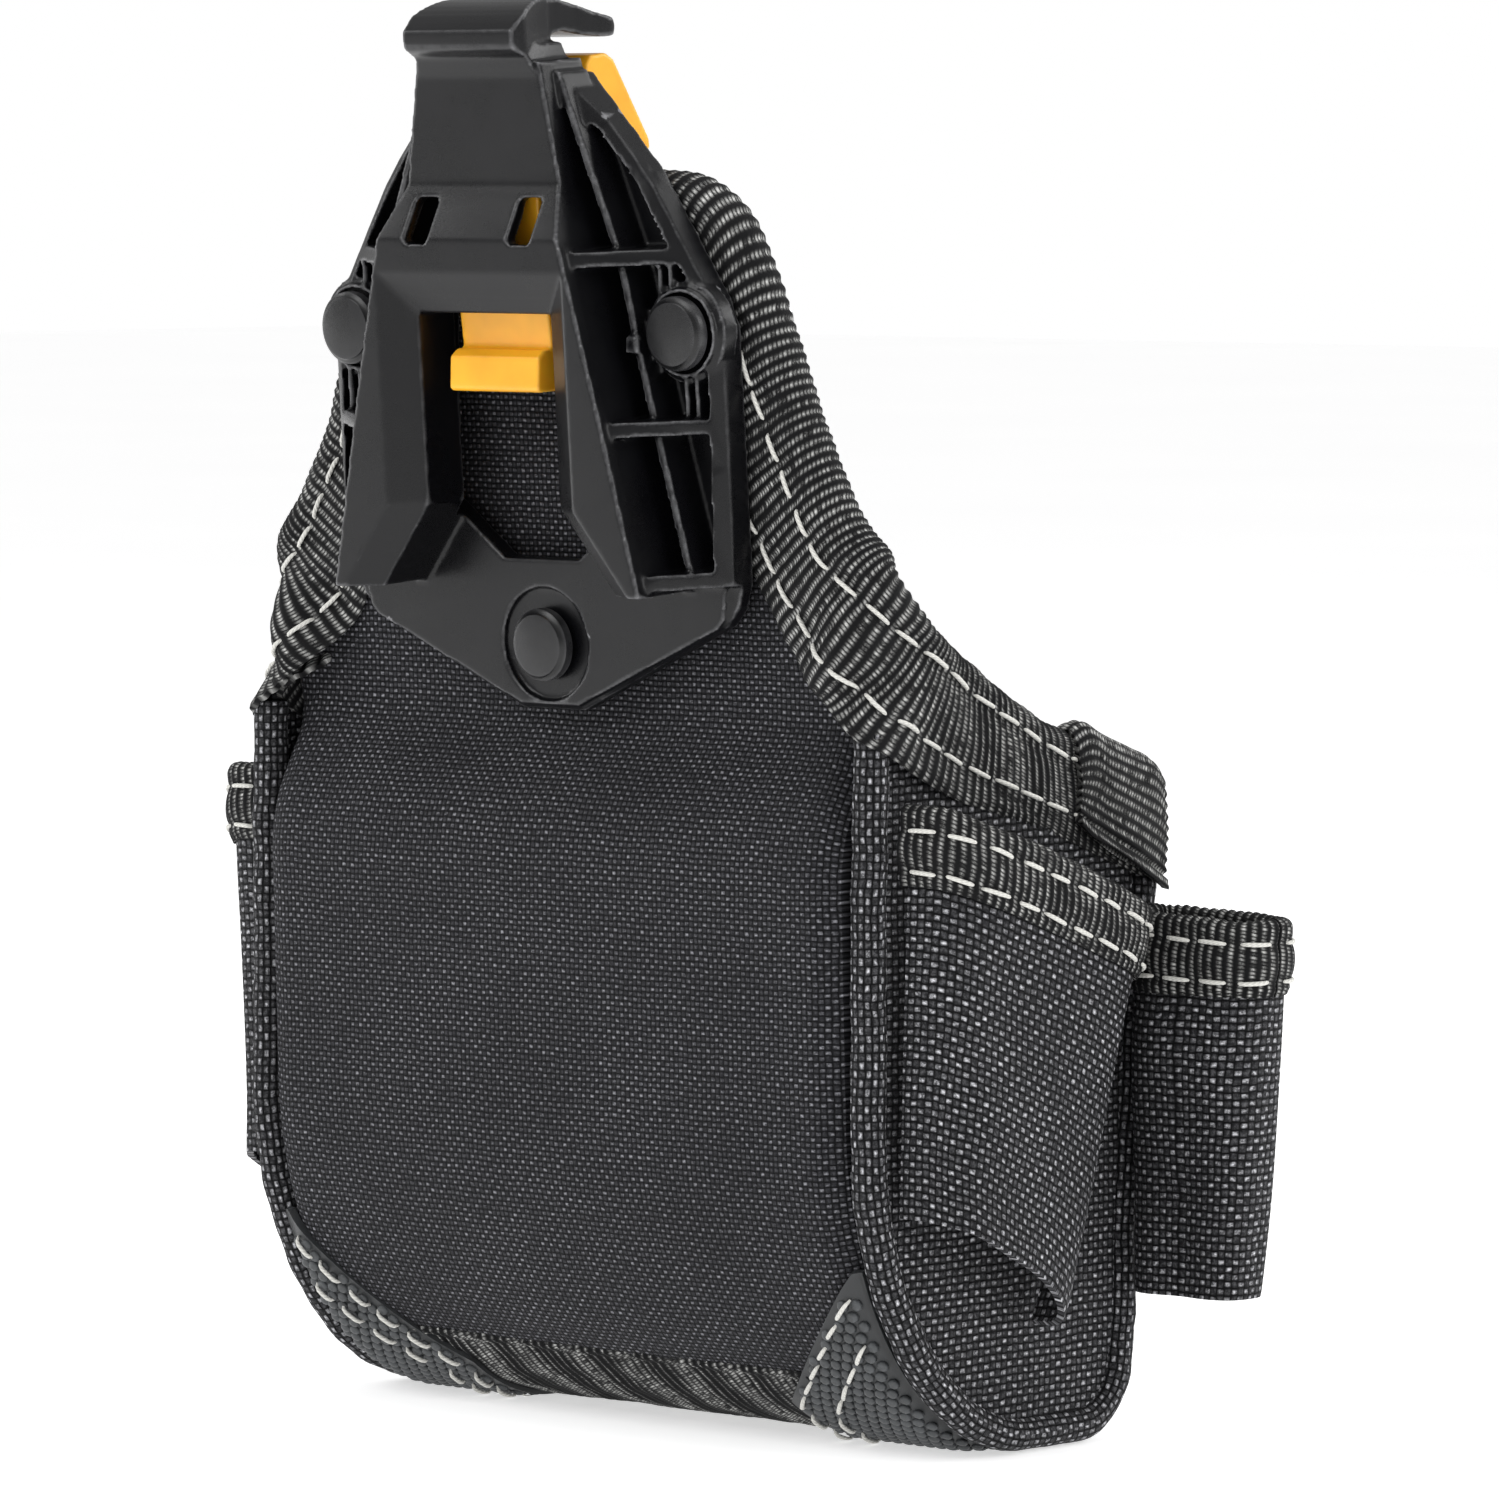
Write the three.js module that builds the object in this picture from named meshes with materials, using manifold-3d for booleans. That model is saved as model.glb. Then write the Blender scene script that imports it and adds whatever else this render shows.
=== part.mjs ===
// Electrician tool pouch: a leaning fabric pouch with a riveted belt clip and a release lever.
// Millimetres, +Z up. The clip and the wearer's belt are on the -Y side, the pouch front on +Y.

import * as THREE from 'three';
import { mergeVertices } from 'three/addons/utils/BufferGeometryUtils.js';
import Module from 'manifold-3d';

const wasm = await Module();
wasm.setup();

// ---------------------------------------------------------------- driving dimensions

const LEAN = THREE.MathUtils.degToRad(4.3);   // the back leans towards the belt
const GAP = 0.3;                              // clearance between sewn or riveted pieces
const FOOT_LIFT = 6;                          // height of the lean axis above the ground

const SEAM_X = 73;                            // side seams, measured from the middle
const PIPING_R = 3.4;
const WRAP_HALF = SEAM_X - PIPING_R - GAP;    // half width of the panels between the seams
const FABRIC = 1.8;                           // one layer of coated ballistic cloth
const LINING = 1.2;

const BACK_TOP = 219.5;                       // top edge of the back, along the lean
const BACK_FACE = -3;                         // outer face of the upper back
const FOAM_INNER = 1.2;
const STIFFENER = [1.5, 3.3];
const LINING_FACE = 3.6;
const STACK_BACK = LINING_FACE + LINING;      // compartment side of the back
const BELLY_FACE = -14.8;                     // outer face of the padded lower back
const BINDING = 1.6;                          // one layer of binding webbing
const BINDING_WIDTH = 22;
const SIDE_BINDING_DROP = 20;

const FRONT_TOP = 119;                        // top edge of the front, above the ground
const GUSSET = [72, 74];                      // gusset plate, inner and outer face

const CLIP_BACK = -5.3;                       // clip base, face on the cloth
const CLIP_BASE = -8.3;                       // clip base, outer face
const CLIP_PAD = -9.5;                        // thicker foot of the clip round the lower rivet
const CLIP_FACE = -24.5;                      // outer face of the lower front plate
const CLIP_UPPER_FACE = -19.2;                // outer face of the upper front plate
const CLIP_WALL = 2.6;
const CLIP_TOP = 241;
const WING_BOTTOM = 148;
const WINDOW_HALF = 16;
const WINDOW_TOP = 197;

const RIVETS = { left: [-39.5, 193.4], right: [39.5, 193.4], bottom: [0, 137.2] };
const RIVET_CAP_R = 6.5;
const RIVET_SHANK_R = 2.6;
const PIVOT = { y: -14.2, z: 214, r: 1.6 };   // lever pin

// ---------------------------------------------------------------- helpers

const vec = (x, y) => new THREE.Vector2(x, y);

function lean(y, z) {
  return vec(y * Math.cos(LEAN) - z * Math.sin(LEAN), y * Math.sin(LEAN) + z * Math.cos(LEAN) + FOOT_LIFT);
}

function solid(geometry) {
  const bare = geometry.clone();
  bare.deleteAttribute('normal');
  bare.deleteAttribute('uv');
  const merged = mergeVertices(bare, 1e-4);
  const vertProperties = new Float32Array(merged.attributes.position.array);
  const triVerts = new Uint32Array(merged.index.array);
  return new wasm.Manifold(new wasm.Mesh({ numProp: 3, vertProperties, triVerts }));
}

function geometryOf(manifold) {
  const mesh = manifold.getMesh();
  const geometry = new THREE.BufferGeometry();
  geometry.setAttribute('position', new THREE.BufferAttribute(new Float32Array(mesh.vertProperties), 3));
  geometry.setIndex(new THREE.BufferAttribute(new Uint32Array(mesh.triVerts), 1));
  geometry.computeVertexNormals();
  return geometry;
}

// An outline in (x, z), given a thickness between two values of y.
function plateXZ(points, y0, y1) {
  const options = { depth: y1 - y0, bevelEnabled: false };
  const geometry = new THREE.ExtrudeGeometry(new THREE.Shape(points), options);
  return solid(geometry.rotateX(Math.PI / 2).translate(0, y1, 0));
}

// An outline in (y, z), given a width between two values of x.
function plateYZ(points, x0, x1) {
  const options = { depth: x1 - x0, bevelEnabled: false };
  const geometry = new THREE.ExtrudeGeometry(new THREE.Shape(points), options);
  const axes = [new THREE.Vector3(0, 1, 0), new THREE.Vector3(0, 0, 1), new THREE.Vector3(1, 0, 0)];
  geometry.applyMatrix4(new THREE.Matrix4().makeBasis(...axes));
  return solid(geometry.translate(x0, 0, 0));
}

// An outline in (x, y), given a height between two values of z.
function plateXY(points, z0, z1) {
  const options = { depth: z1 - z0, bevelEnabled: false };
  return solid(new THREE.ExtrudeGeometry(new THREE.Shape(points), options).translate(0, 0, z0));
}

function block(x0, x1, y0, y1, z0, z1) {
  const geometry = new THREE.BoxGeometry(x1 - x0, y1 - y0, z1 - z0);
  return solid(geometry.translate((x0 + x1) / 2, (y0 + y1) / 2, (z0 + z1) / 2));
}

// A round bar along Y between y0 and y1.
function barY(x, z, r, y0, y1, sides = 24) {
  const geometry = new THREE.CylinderGeometry(r, r, y1 - y0, sides);
  return solid(geometry.translate(x, (y0 + y1) / 2, z));
}

// A round bar along X between x0 and x1.
function barX(y, z, r, x0, x1, sides = 16) {
  const geometry = new THREE.CylinderGeometry(r, r, x1 - x0, sides).rotateZ(Math.PI / 2);
  return solid(geometry.translate((x0 + x1) / 2, y, z));
}

// Right-half points from the top to the bottom, completed with their mirror image.
function mirrored(half) {
  const left = half.filter((p) => p.x > 1e-6).map((p) => vec(-p.x, p.y)).reverse();
  return [...half, ...left];
}

// A polyline moved sideways, to its left when the distance is positive.
function shifted(points, distance) {
  return points.map((p, i) => {
    const before = points[Math.max(i - 1, 0)];
    const after = points[Math.min(i + 1, points.length - 1)];
    const along = after.clone().sub(before).normalize();
    return vec(p.x - along.y * distance, p.y + along.x * distance);
  });
}

// A band between two sideways shifts of one polyline.
function band(points, inner, outer) {
  return [...shifted(points, outer), ...shifted(points, inner).reverse()];
}

// A skin over equal rings of points: closed round each ring, and capped at both ends.
// A ring has an even number of points, and its last half runs back beside its first half.
function loft(rings) {
  const count = rings[0].length;
  const positions = rings.flatMap((ring) => ring.flatMap((p) => [p.x, p.y, p.z]));
  const cap = [];
  for (let i = 0; i + 1 < count / 2; i += 1) {
    cap.push([i, i + 1, count - 2 - i], [i, count - 2 - i, count - 1 - i]);
  }
  const index = [];
  for (let k = 0; k + 1 < rings.length; k += 1) {
    for (let i = 0; i < count; i += 1) {
      const j = (i + 1) % count;
      const [a, b, c, d] = [k * count + i, k * count + j, (k + 1) * count + j, (k + 1) * count + i];
      index.push(a, b, c, a, c, d);
    }
  }
  const top = (rings.length - 1) * count;
  for (const [a, b, c] of cap) {
    index.push(c, b, a);
    index.push(top + a, top + b, top + c);
  }
  const geometry = new THREE.BufferGeometry();
  geometry.setAttribute('position', new THREE.Float32BufferAttribute(positions, 3));
  geometry.setIndex(index);
  return solid(geometry);
}

function flipX(manifold) {
  const geometry = geometryOf(manifold).scale(-1, 1, 1);
  const index = geometry.index.array;
  for (let i = 0; i < index.length; i += 3) {
    [index[i], index[i + 1]] = [index[i + 1], index[i]];
  }
  return solid(geometry);
}

// ---------------------------------------------------------------- the outlines of the pouch

// Side seam: down the back, round the bottom and up the front, in (y, z) above the ground.
const seamPath = new THREE.Path();
seamPath.moveTo(-21.6, 143);
seamPath.lineTo(-17.4, 60);
seamPath.bezierCurveTo(-16.5, 30, 2, PIPING_R, 26, PIPING_R);
seamPath.lineTo(38, PIPING_R);
seamPath.bezierCurveTo(47, PIPING_R, 51, 9, 51.6, 22);
seamPath.quadraticCurveTo(53, 70, 59.2, FRONT_TOP - 3);
const SEAM = seamPath.getPoints(12);

// Outer face of the wrapped panel at the middle: upper back, padded belly, bottom and front.
const wrapPath = new THREE.Path();
wrapPath.moveTo(...lean(BACK_FACE, BACK_TOP - 2));
wrapPath.lineTo(...lean(BACK_FACE, 128));
wrapPath.bezierCurveTo(...lean(BACK_FACE, 116), ...lean(BELLY_FACE, 114), ...lean(BELLY_FACE, 94));
wrapPath.lineTo(-20.6, 60);
wrapPath.bezierCurveTo(-19.6, 28, 0, 0.9, 26, 0.9);
wrapPath.lineTo(38, 0.9);
wrapPath.bezierCurveTo(49, 0.9, 54, 8, 54.5, 22);
wrapPath.quadraticCurveTo(56, 70, 62, FRONT_TOP - 2);
const WRAP = wrapPath.getPoints(12);

// Top outline of the back with its binding, right half, in (x, z) along the lean.
function backOutline(inset) {
  const path = new THREE.Path();
  path.moveTo(0, BACK_TOP - inset);
  path.lineTo(25, BACK_TOP - inset);
  path.bezierCurveTo(38 - inset, BACK_TOP - inset, 44.5 - inset, 214 - inset, 48 - inset, 204);
  path.lineTo(56 - inset, 182);
  path.bezierCurveTo(59.5 - inset, 171, 65 - inset, 160 - inset, 75 - inset, 149 - inset);
  return path.getPoints(8);
}

// Inner edge of the webbing round the top of the back, right half.
const bindingInner = new THREE.Path();
bindingInner.moveTo(0, BACK_TOP - BINDING_WIDTH);
bindingInner.lineTo(8, BACK_TOP - BINDING_WIDTH);
bindingInner.bezierCurveTo(18, BACK_TOP - BINDING_WIDTH, 24, 193, 27, 184);
bindingInner.bezierCurveTo(33, 166, 44, 151, 50, 145);
bindingInner.bezierCurveTo(56, 138, 63, 132, 75, 126);

function backShape(inset, bottom, half) {
  const upper = backOutline(inset).filter((p) => p.x < half);
  return mirrored([...upper, vec(half, upper[upper.length - 1].y), vec(half, bottom), vec(0, bottom)]);
}

// Leaning pieces are cut in the leaning frame and then stood in the world frame.
function leaned(manifold) {
  const geometry = geometryOf(manifold);
  return solid(geometry.rotateX(LEAN).translate(0, 0, FOOT_LIFT));
}

const rivetHoles = (r) => Object.values(RIVETS).map(([x, z]) => barY(x, z, r, -30, 30, 16));

function drilled(manifold, r) {
  return rivetHoles(r).reduce((body, hole) => body.subtract(hole), manifold);
}

const backCut = leaned(drilled(plateXZ(backShape(BINDING + GAP, -20, WRAP_HALF), -40, 30), RIVET_SHANK_R + GAP));

function wrapLayer(outer, inner, half) {
  return plateYZ(band(WRAP, inner, -outer), -half, half);
}

// ---------------------------------------------------------------- fabric pieces

const BACK_SEAM_Y = -3;
const FRONT_SEAM_Z = 13;

function backPanel() {
  const zone = plateYZ([vec(-80, -5), vec(BACK_SEAM_Y, -5), vec(BACK_SEAM_Y, 40), vec(30, 60), vec(30, 240),
    vec(-80, 240)], -80, 80);
  return wrapLayer(0, FABRIC, WRAP_HALF).intersect(zone).intersect(backCut);
}

function backFoam() {
  const outer = shifted(WRAP, FABRIC + GAP).filter((p) => p.x < -6 && p.y > 26);
  const inner = [lean(FOAM_INNER, 24), lean(FOAM_INNER, 214)];
  const body = plateYZ([...outer, ...inner], -WRAP_HALF + 2, WRAP_HALF - 2);
  const shape = plateXZ(backShape(BINDING + 3, -20, WRAP_HALF - 2), -40, 30);
  return body.intersect(leaned(drilled(shape, RIVET_SHANK_R + GAP)));
}

function backStiffener() {
  const shape = backShape(BINDING + 4, 112, 60);
  return leaned(drilled(plateXZ(shape, ...STIFFENER), RIVET_SHANK_R + GAP));
}

function backLining() {
  const shape = backShape(BINDING + GAP, 14, WRAP_HALF);
  return leaned(drilled(plateXZ(shape, LINING_FACE, STACK_BACK), RIVET_SHANK_R + GAP));
}

// Everything between a cover shifted outwards and a back face, over the upper half of the back.
function backSlab(outward, inward) {
  const face = shifted(WRAP, -outward).filter((p) => p.x < 0 && p.y > 100);
  return plateYZ([lean(BACK_FACE - outward, 240), ...face, lean(inward, 95), lean(inward, 240)], -90, 90);
}

function topBinding() {
  const horseshoe = [...backOutline(0), ...bindingInner.getPoints(8).reverse()];
  const half = plateXZ(horseshoe, -40, 30);
  const right = half.intersect(block(0, WRAP_HALF + 0.6, -40, 40, 100, 260));
  const ring = leaned(drilled(right.add(flipX(right)), RIVET_SHANK_R + GAP));
  const core = leaned(plateXZ(backShape(BINDING, 80, WRAP_HALF + GAP), -40, 30));
  return ring.intersect(backSlab(BINDING + GAP, STACK_BACK + BINDING + GAP))
    .subtract(backSlab(GAP, STACK_BACK + GAP).intersect(core));
}

function bottomWebbing() {
  const zone = block(-80, 80, BACK_SEAM_Y + GAP, 51, -5, FRONT_SEAM_Z - GAP).add(
    block(-80, 80, 45, 60, -5, FRONT_SEAM_Z - GAP));
  return wrapLayer(0, FABRIC, WRAP_HALF).intersect(zone);
}

function bottomBoard() {
  return block(-WRAP_HALF + 1, WRAP_HALF - 1, 16, 46, 5.4, 7.4);
}

function frontPanel() {
  const zone = block(-80, 80, 44, 80, FRONT_SEAM_Z, 200);
  return wrapLayer(0, FABRIC, WRAP_HALF).intersect(zone);
}

function frontBinding() {
  const edge = WRAP.slice(-3);
  const outer = plateYZ(band(edge, FABRIC + BINDING + GAP, -BINDING - GAP), -62, 62);
  const cap = block(-62, 62, 55, 66, FRONT_TOP - 4, FRONT_TOP);
  const core = wrapLayer(GAP, FABRIC + GAP, 63);
  return outer.add(cap).intersect(block(-62, 62, 50, 70, FRONT_TOP - 18, FRONT_TOP)).subtract(core);
}

const gussetTop = new THREE.Path();
gussetTop.moveTo(-20.5, 165);
gussetTop.bezierCurveTo(-8, 151, 8, 139, 30, 128.5);
gussetTop.lineTo(57.5, 120.5);
const GUSSET_TOP = gussetTop.getPoints(8);

function gusset() {
  const rim = shifted(SEAM, PIPING_R + GAP).filter((p) => p.x < 0 || p.y < 112);
  const top = shifted(GUSSET_TOP, -BINDING - GAP).filter((p) => p.x < 54).reverse();
  return plateYZ([...rim, ...top], ...GUSSET);
}

function gussetBinding() {
  const edge = GUSSET_TOP.filter((p) => p.x < 40).concat(vec(41, 125.3));
  const drop = edge.map((p) => vec(p.x, p.y - SIDE_BINDING_DROP)).reverse();
  const start = [vec(-17.4, 145), vec(-20.5, 145)];
  const lower = drop.filter((p) => p.x > -17.4);
  const body = plateYZ([...edge, ...lower, ...start], GUSSET[0] - BINDING - GAP, GUSSET[1] + BINDING + GAP);
  const rim = shifted(SEAM, PIPING_R - 0.2).filter((p) => p.x < 0 || p.y < 116);
  const top = shifted(GUSSET_TOP, -BINDING).filter((p) => p.x < 50).reverse();
  return body.subtract(plateYZ([...rim, ...top], GUSSET[0] - GAP, GUSSET[1] + GAP));
}

function cornerTab() {
  const path = [vec(42, 125.4), vec(58.5, 121), vec(57.5, 103), vec(42, 103)];
  const core = [vec(30, 126.9), vec(55.6, 119.6), vec(55.6, 95), vec(30, 95)];
  const body = plateYZ(path, GUSSET[0] - 2.4, GUSSET[1] + 2.4);
  return body.subtract(plateYZ(core, GUSSET[0] - GAP, GUSSET[1] + GAP)).subtract(pipingBody(PIPING_R + GAP));
}

function pipingBody(radius) {
  const route = SEAM.map((p) => new THREE.Vector3(SEAM_X, p.x, p.y));
  const section = new THREE.Shape();
  section.absarc(0, 0, radius, 0, Math.PI * 2);
  const path = new THREE.CatmullRomCurve3(route, false, 'centripetal');
  const options = { steps: 44, curveSegments: 5, extrudePath: path, bevelEnabled: false };
  return solid(new THREE.ExtrudeGeometry(section, options));
}

const PATCH = { height: 35, inner: 40 };

// Rubberised patch over one lower corner of the wrapped panel.
function cornerPatch() {
  const shell = plateYZ(band(WRAP, -GAP, -GAP - 0.6), 20, WRAP_HALF);
  const diagonal = [vec(WRAP_HALF, PATCH.height), vec(PATCH.inner, 11), vec(PATCH.inner, -10),
    vec(WRAP_HALF, -10)];
  const back = plateXZ(diagonal, -60, 12);
  const under = block(PATCH.inner, WRAP_HALF, 11.9, 40, -10, 10);
  return shell.intersect(back.add(under));
}

// ---------------------------------------------------------------- tool loops on the sides

// Half-round sleeve across the gusset, in (x, y): from y0 to y1 with the given bulge.
function sleeveCurve(y0, y1, bulge, shift) {
  const points = [];
  const count = 14;
  const foot = GUSSET[1] + GAP + 1.2;
  for (let i = 0; i <= count; i += 1) {
    const angle = Math.PI * (i / count);
    const swell = Math.sin(angle) ** 0.55;
    const run = Math.cos(angle);
    const flat = Math.sign(run) * Math.abs(run) ** 0.8;
    points.push(vec(foot + bulge * swell, (y0 + y1) / 2 - flat * (y1 - y0) / 2));
  }
  return band(points, shift, -shift);
}

const SLEEVE = { back: -12.5, frontTop: 42.5, frontBottom: 31, bulge: 16, slope: -0.37, top: 112, bottom: 40.5 };

function sleeveRing(t, shift, rise) {
  const front = THREE.MathUtils.lerp(SLEEVE.frontBottom, SLEEVE.frontTop, t);
  const height = THREE.MathUtils.lerp(SLEEVE.bottom, SLEEVE.top, t) + rise;
  const section = sleeveCurve(SLEEVE.back, front, SLEEVE.bulge, shift);
  return section.map((p) => new THREE.Vector3(p.x, p.y, height + SLEEVE.slope * p.y));
}

function sideLoop() {
  return loft([sleeveRing(0, 0.8, 0), sleeveRing(1, 0.8, -BINDING - GAP)]);
}

function sideLoopBinding() {
  const share = 1 - 14 / (SLEEVE.top - SLEEVE.bottom);
  const outer = loft([sleeveRing(share, 0.8 + BINDING * 0.7, 0), sleeveRing(1, 0.8 + BINDING * 0.7, 0)]);
  const core = loft([sleeveRing(share - 0.05, 0.8 + GAP, 0), sleeveRing(1, 0.8 + GAP, -BINDING)]);
  return outer.subtract(core);
}

// Flattened sleeve that stands out sideways at the front corner, in (x, y).
const OUTRIGGER = { near: 78, far: 107.5, farBottom: 101.5, back: 46, front: 63, top: 96.5, bottom: 26.5 };

function outriggerRing(t, grow, rise) {
  const far = THREE.MathUtils.lerp(OUTRIGGER.farBottom, OUTRIGGER.far, t) + grow;
  const shape = new THREE.Path();
  const [near, back, front] = [OUTRIGGER.near - grow, OUTRIGGER.back - grow, OUTRIGGER.front + grow];
  const round = 7;
  shape.moveTo(near, back);
  shape.lineTo(far - round, back);
  shape.quadraticCurveTo(far, back, far, back + round);
  shape.lineTo(far, front - round);
  shape.quadraticCurveTo(far, front, far - round, front);
  shape.lineTo(near, front);
  const height = THREE.MathUtils.lerp(OUTRIGGER.bottom, OUTRIGGER.top, t) + rise;
  return shape.getPoints(4).map((p) => new THREE.Vector3(p.x, p.y, height));
}

function tube(low, high, grow, shrink, riseTop) {
  const outer = loft([outriggerRing(low, grow, 0), outriggerRing(high, grow, riseTop)]);
  const inner = loft([outriggerRing(low - 0.05, -shrink, 0), outriggerRing(high + 0.05, -shrink, 0)]);
  return outer.subtract(inner);
}

function frontLoop() {
  return tube(0, 1, 0, FABRIC, -BINDING - GAP);
}

function frontLoopBinding() {
  const share = 1 - 14 / (OUTRIGGER.top - OUTRIGGER.bottom);
  const body = tube(share, 1, BINDING - 0.4, FABRIC + BINDING - 0.4, 0);
  const core = loft([outriggerRing(share - 0.05, GAP, 0), outriggerRing(1, GAP, -BINDING)])
    .subtract(loft([outriggerRing(share - 0.1, -FABRIC - GAP, 0), outriggerRing(1.1, -FABRIC - GAP, 0)]));
  return body.subtract(core);
}

// ---------------------------------------------------------------- pocket on the front

const POCKET = { half: 60, height: 82, low: 15, depth: 10 };

function frontFaceY(z) {
  return z < 22 ? 54.5 : THREE.MathUtils.lerp(54.8, 61.4, (z - 22) / 95);
}

function pocketSection(outer, inner, low, high) {
  const near = (z) => frontFaceY(z) + GAP;
  return [vec(near(low) + inner, low), vec(near(low) + outer, low), vec(near(high) + outer, high),
    vec(near(high) + inner, high)];
}

function frontPocket() {
  const { half, height, low, depth } = POCKET;
  const body = plateYZ(pocketSection(depth, 0, low, height), -half, half);
  const room = plateYZ(pocketSection(depth - FABRIC, -1, low + 2, height + 2), -half + FABRIC, half - FABRIC);
  return body.subtract(room);
}

function frontPocketBinding() {
  const { half, height, depth } = POCKET;
  const band0 = plateYZ(pocketSection(depth + BINDING, depth + GAP, height - 18, height), -half, half);
  const lip = plateYZ(pocketSection(depth + BINDING, depth - FABRIC, height + GAP, height + GAP + BINDING), -half, half);
  const joint = plateYZ(pocketSection(depth + BINDING, depth + GAP, height - 1, height + 1), -half, half);
  return band0.add(lip).add(joint);
}

// ---------------------------------------------------------------- belt clip

// Outer edge of the front plate, right half, in (x, z).
const PLATE_EDGE = [vec(14.8, CLIP_TOP), vec(18.6, 219), vec(22, 210), vec(29.5, 180), vec(37, WING_BOTTOM)];

function plateShape(inset) {
  const edge = PLATE_EDGE.map((p) => vec(p.x - inset, p.y));
  return mirrored([vec(0, CLIP_TOP), ...edge, vec(0, WING_BOTTOM)]);
}

// Side profile of the front plate's outer face, in (y, z).
function plateProfile(depth) {
  return [vec(CLIP_UPPER_FACE + depth, CLIP_TOP), vec(CLIP_UPPER_FACE + depth, 219), vec(CLIP_FACE + depth, 210),
    vec(CLIP_FACE + depth, WING_BOTTOM - 1), vec(0, WING_BOTTOM - 1), vec(0, CLIP_TOP)];
}

// Window between the wings, open at the bottom, right half.
function windowShape(grow, top) {
  const half = WINDOW_HALF + grow;
  return mirrored([vec(0, top + grow), vec(half, top + grow), vec(half, 163), vec(28.5 + grow, WING_BOTTOM - 0.5),
    vec(28.5 + grow, WING_BOTTOM - 3), vec(0, WING_BOTTOM - 3)]);
}

// Broad bevel that dishes the front plate in towards the window.
function windowBevel() {
  const ring = (grow, y) => windowShape(grow, WINDOW_TOP).map((p) => new THREE.Vector3(p.x, p.y, y));
  const raw = loft([ring(7, -CLIP_FACE + 0.6), ring(-1, -CLIP_FACE - 4.2)]);
  return solid(geometryOf(raw).rotateX(Math.PI / 2));
}

const BASE_EDGE = [vec(15, 238.5), vec(31, 221), vec(45, 199), vec(47, 193.5), vec(47, 148), vec(42.6, 141.5),
  vec(7.4, 125.5)];

function clipBase() {
  const outline = mirrored([vec(0, 238.5), ...BASE_EDGE, vec(0, 125.5)]);
  const plate = plateXZ(outline, CLIP_BASE, CLIP_BACK);
  const foot = mirrored([vec(0, 162), vec(30, 162), vec(44, 147), vec(42, 141.9), vec(7.2, 126), vec(0, 126)]);
  return plate.add(plateXZ(foot, CLIP_PAD, CLIP_BASE + 0.5));
}

function clipRibs() {
  const lowEdge = (x) => THREE.MathUtils.lerp(CLIP_FACE + 4, CLIP_BASE - 1, (x - 20) / 26);
  const shelf = (z, root, reach) => {
    const outline = [vec(root, CLIP_BASE + 0.5), vec(root, lowEdge(root)), vec(reach, lowEdge(reach)),
      vec(reach, CLIP_BASE + 0.5)];
    return plateXY(outline, z, z + 2.4);
  };
  const web = (x0, z0, x1, z1, y) => plateXZ([vec(x0, z0), vec(x0 + 1.6, z0), vec(x1 + 1.6, z1), vec(x1, z1)], y,
    CLIP_BASE + 0.5);
  const right = shelf(205.5, 20.5, 39.5).add(shelf(176, 28.5, 46.2))
    .add(web(26, 233 - 10, 31, 207, -14))
    .add(web(33, 206, 35.5, 177, -12.5))
    .add(web(38, 177, 42.5, 149, -12));
  return right.add(flipX(right));
}

function clipWalls() {
  const outer = plateXZ(plateShape(0), -40, CLIP_BASE + 0.5).intersect(plateYZ(plateProfile(0), -60, 60));
  const hollow = plateXZ(plateShape(CLIP_WALL), -40, 5).intersect(plateYZ(plateProfile(CLIP_WALL), -60, 60))
    .subtract(plateXZ(windowShape(CLIP_WALL, WINDOW_TOP - CLIP_WALL), -40, 10))
    .subtract(block(-60, 60, -40, 10, 100, WING_BOTTOM + CLIP_WALL));
  const leverRoom = block(-11.5, 11.5, CLIP_FACE + 5.5, 10, 170, CLIP_TOP - CLIP_WALL);
  return outer.subtract(hollow).subtract(plateXZ(windowShape(0, WINDOW_TOP), -40, 10)).subtract(leverRoom);
}

function clipHook() {
  const path = new THREE.Path();
  path.moveTo(-18.5, 238);
  path.lineTo(-19.5, 242);
  path.lineTo(-23.5, 243.6);
  path.lineTo(-23.5, 247.2);
  path.bezierCurveTo(-20, 250.5, -16, 251.6, -12.5, 251.6);
  path.bezierCurveTo(-6, 251.2, 0, 247.6, 5.5, 246.8);
  path.lineTo(5.5, 243.9);
  path.bezierCurveTo(0, 244.2, -5, 246, -10, 246);
  path.lineTo(-11, 238);
  const bar = plateYZ(path.getPoints(7), -14, 14);
  const trim = [vec(-11.5, 8), vec(-9.5, -12), vec(-12.8, -22), vec(-12, -26), vec(12, -26),
    vec(12.8, -22), vec(9.5, -12), vec(11.5, 8)];
  return bar.intersect(plateXY(trim, 200, 260));
}

function clipBody() {
  const bosses = [RIVETS.left, RIVETS.right].map(([x, z]) => barY(x, z, 8.6, -11, CLIP_BASE + 0.5));
  let body = clipBase().add(clipWalls()).add(clipRibs()).add(clipHook());
  bosses.forEach((boss) => { body = body.add(boss); });
  const baseWindow = mirrored([vec(0, 240), vec(11, 240), vec(13, 222), vec(20, 205), vec(22.5, 163),
    vec(9, 152.4), vec(0, 152.4)]);
  body = body.subtract(plateXZ(baseWindow, CLIP_PAD - 0.5, 0)).subtract(windowBevel());
  const slot = (x) => plateXZ([vec(x, 217), vec(x + 5.4, 217), vec(x + 5.4, 209.5), vec(x, 209.5)], -40, -12);
  body = body.subtract(slot(-15.2)).subtract(slot(9.8));
  body = body.subtract(barY(0, RIVETS.bottom[1], 10.2, -20, CLIP_PAD + 1.2, 32));
  const clearCaps = [RIVETS.left, RIVETS.right].map(([x, z]) => barY(x, z, RIVET_CAP_R + 0.6, -30, -11));
  clearCaps.forEach((cut) => { body = body.subtract(cut); });
  body = body.subtract(barX(PIVOT.y, PIVOT.z, PIVOT.r + GAP, -14, 14));
  return drilled(body, RIVET_SHANK_R + GAP);
}

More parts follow.
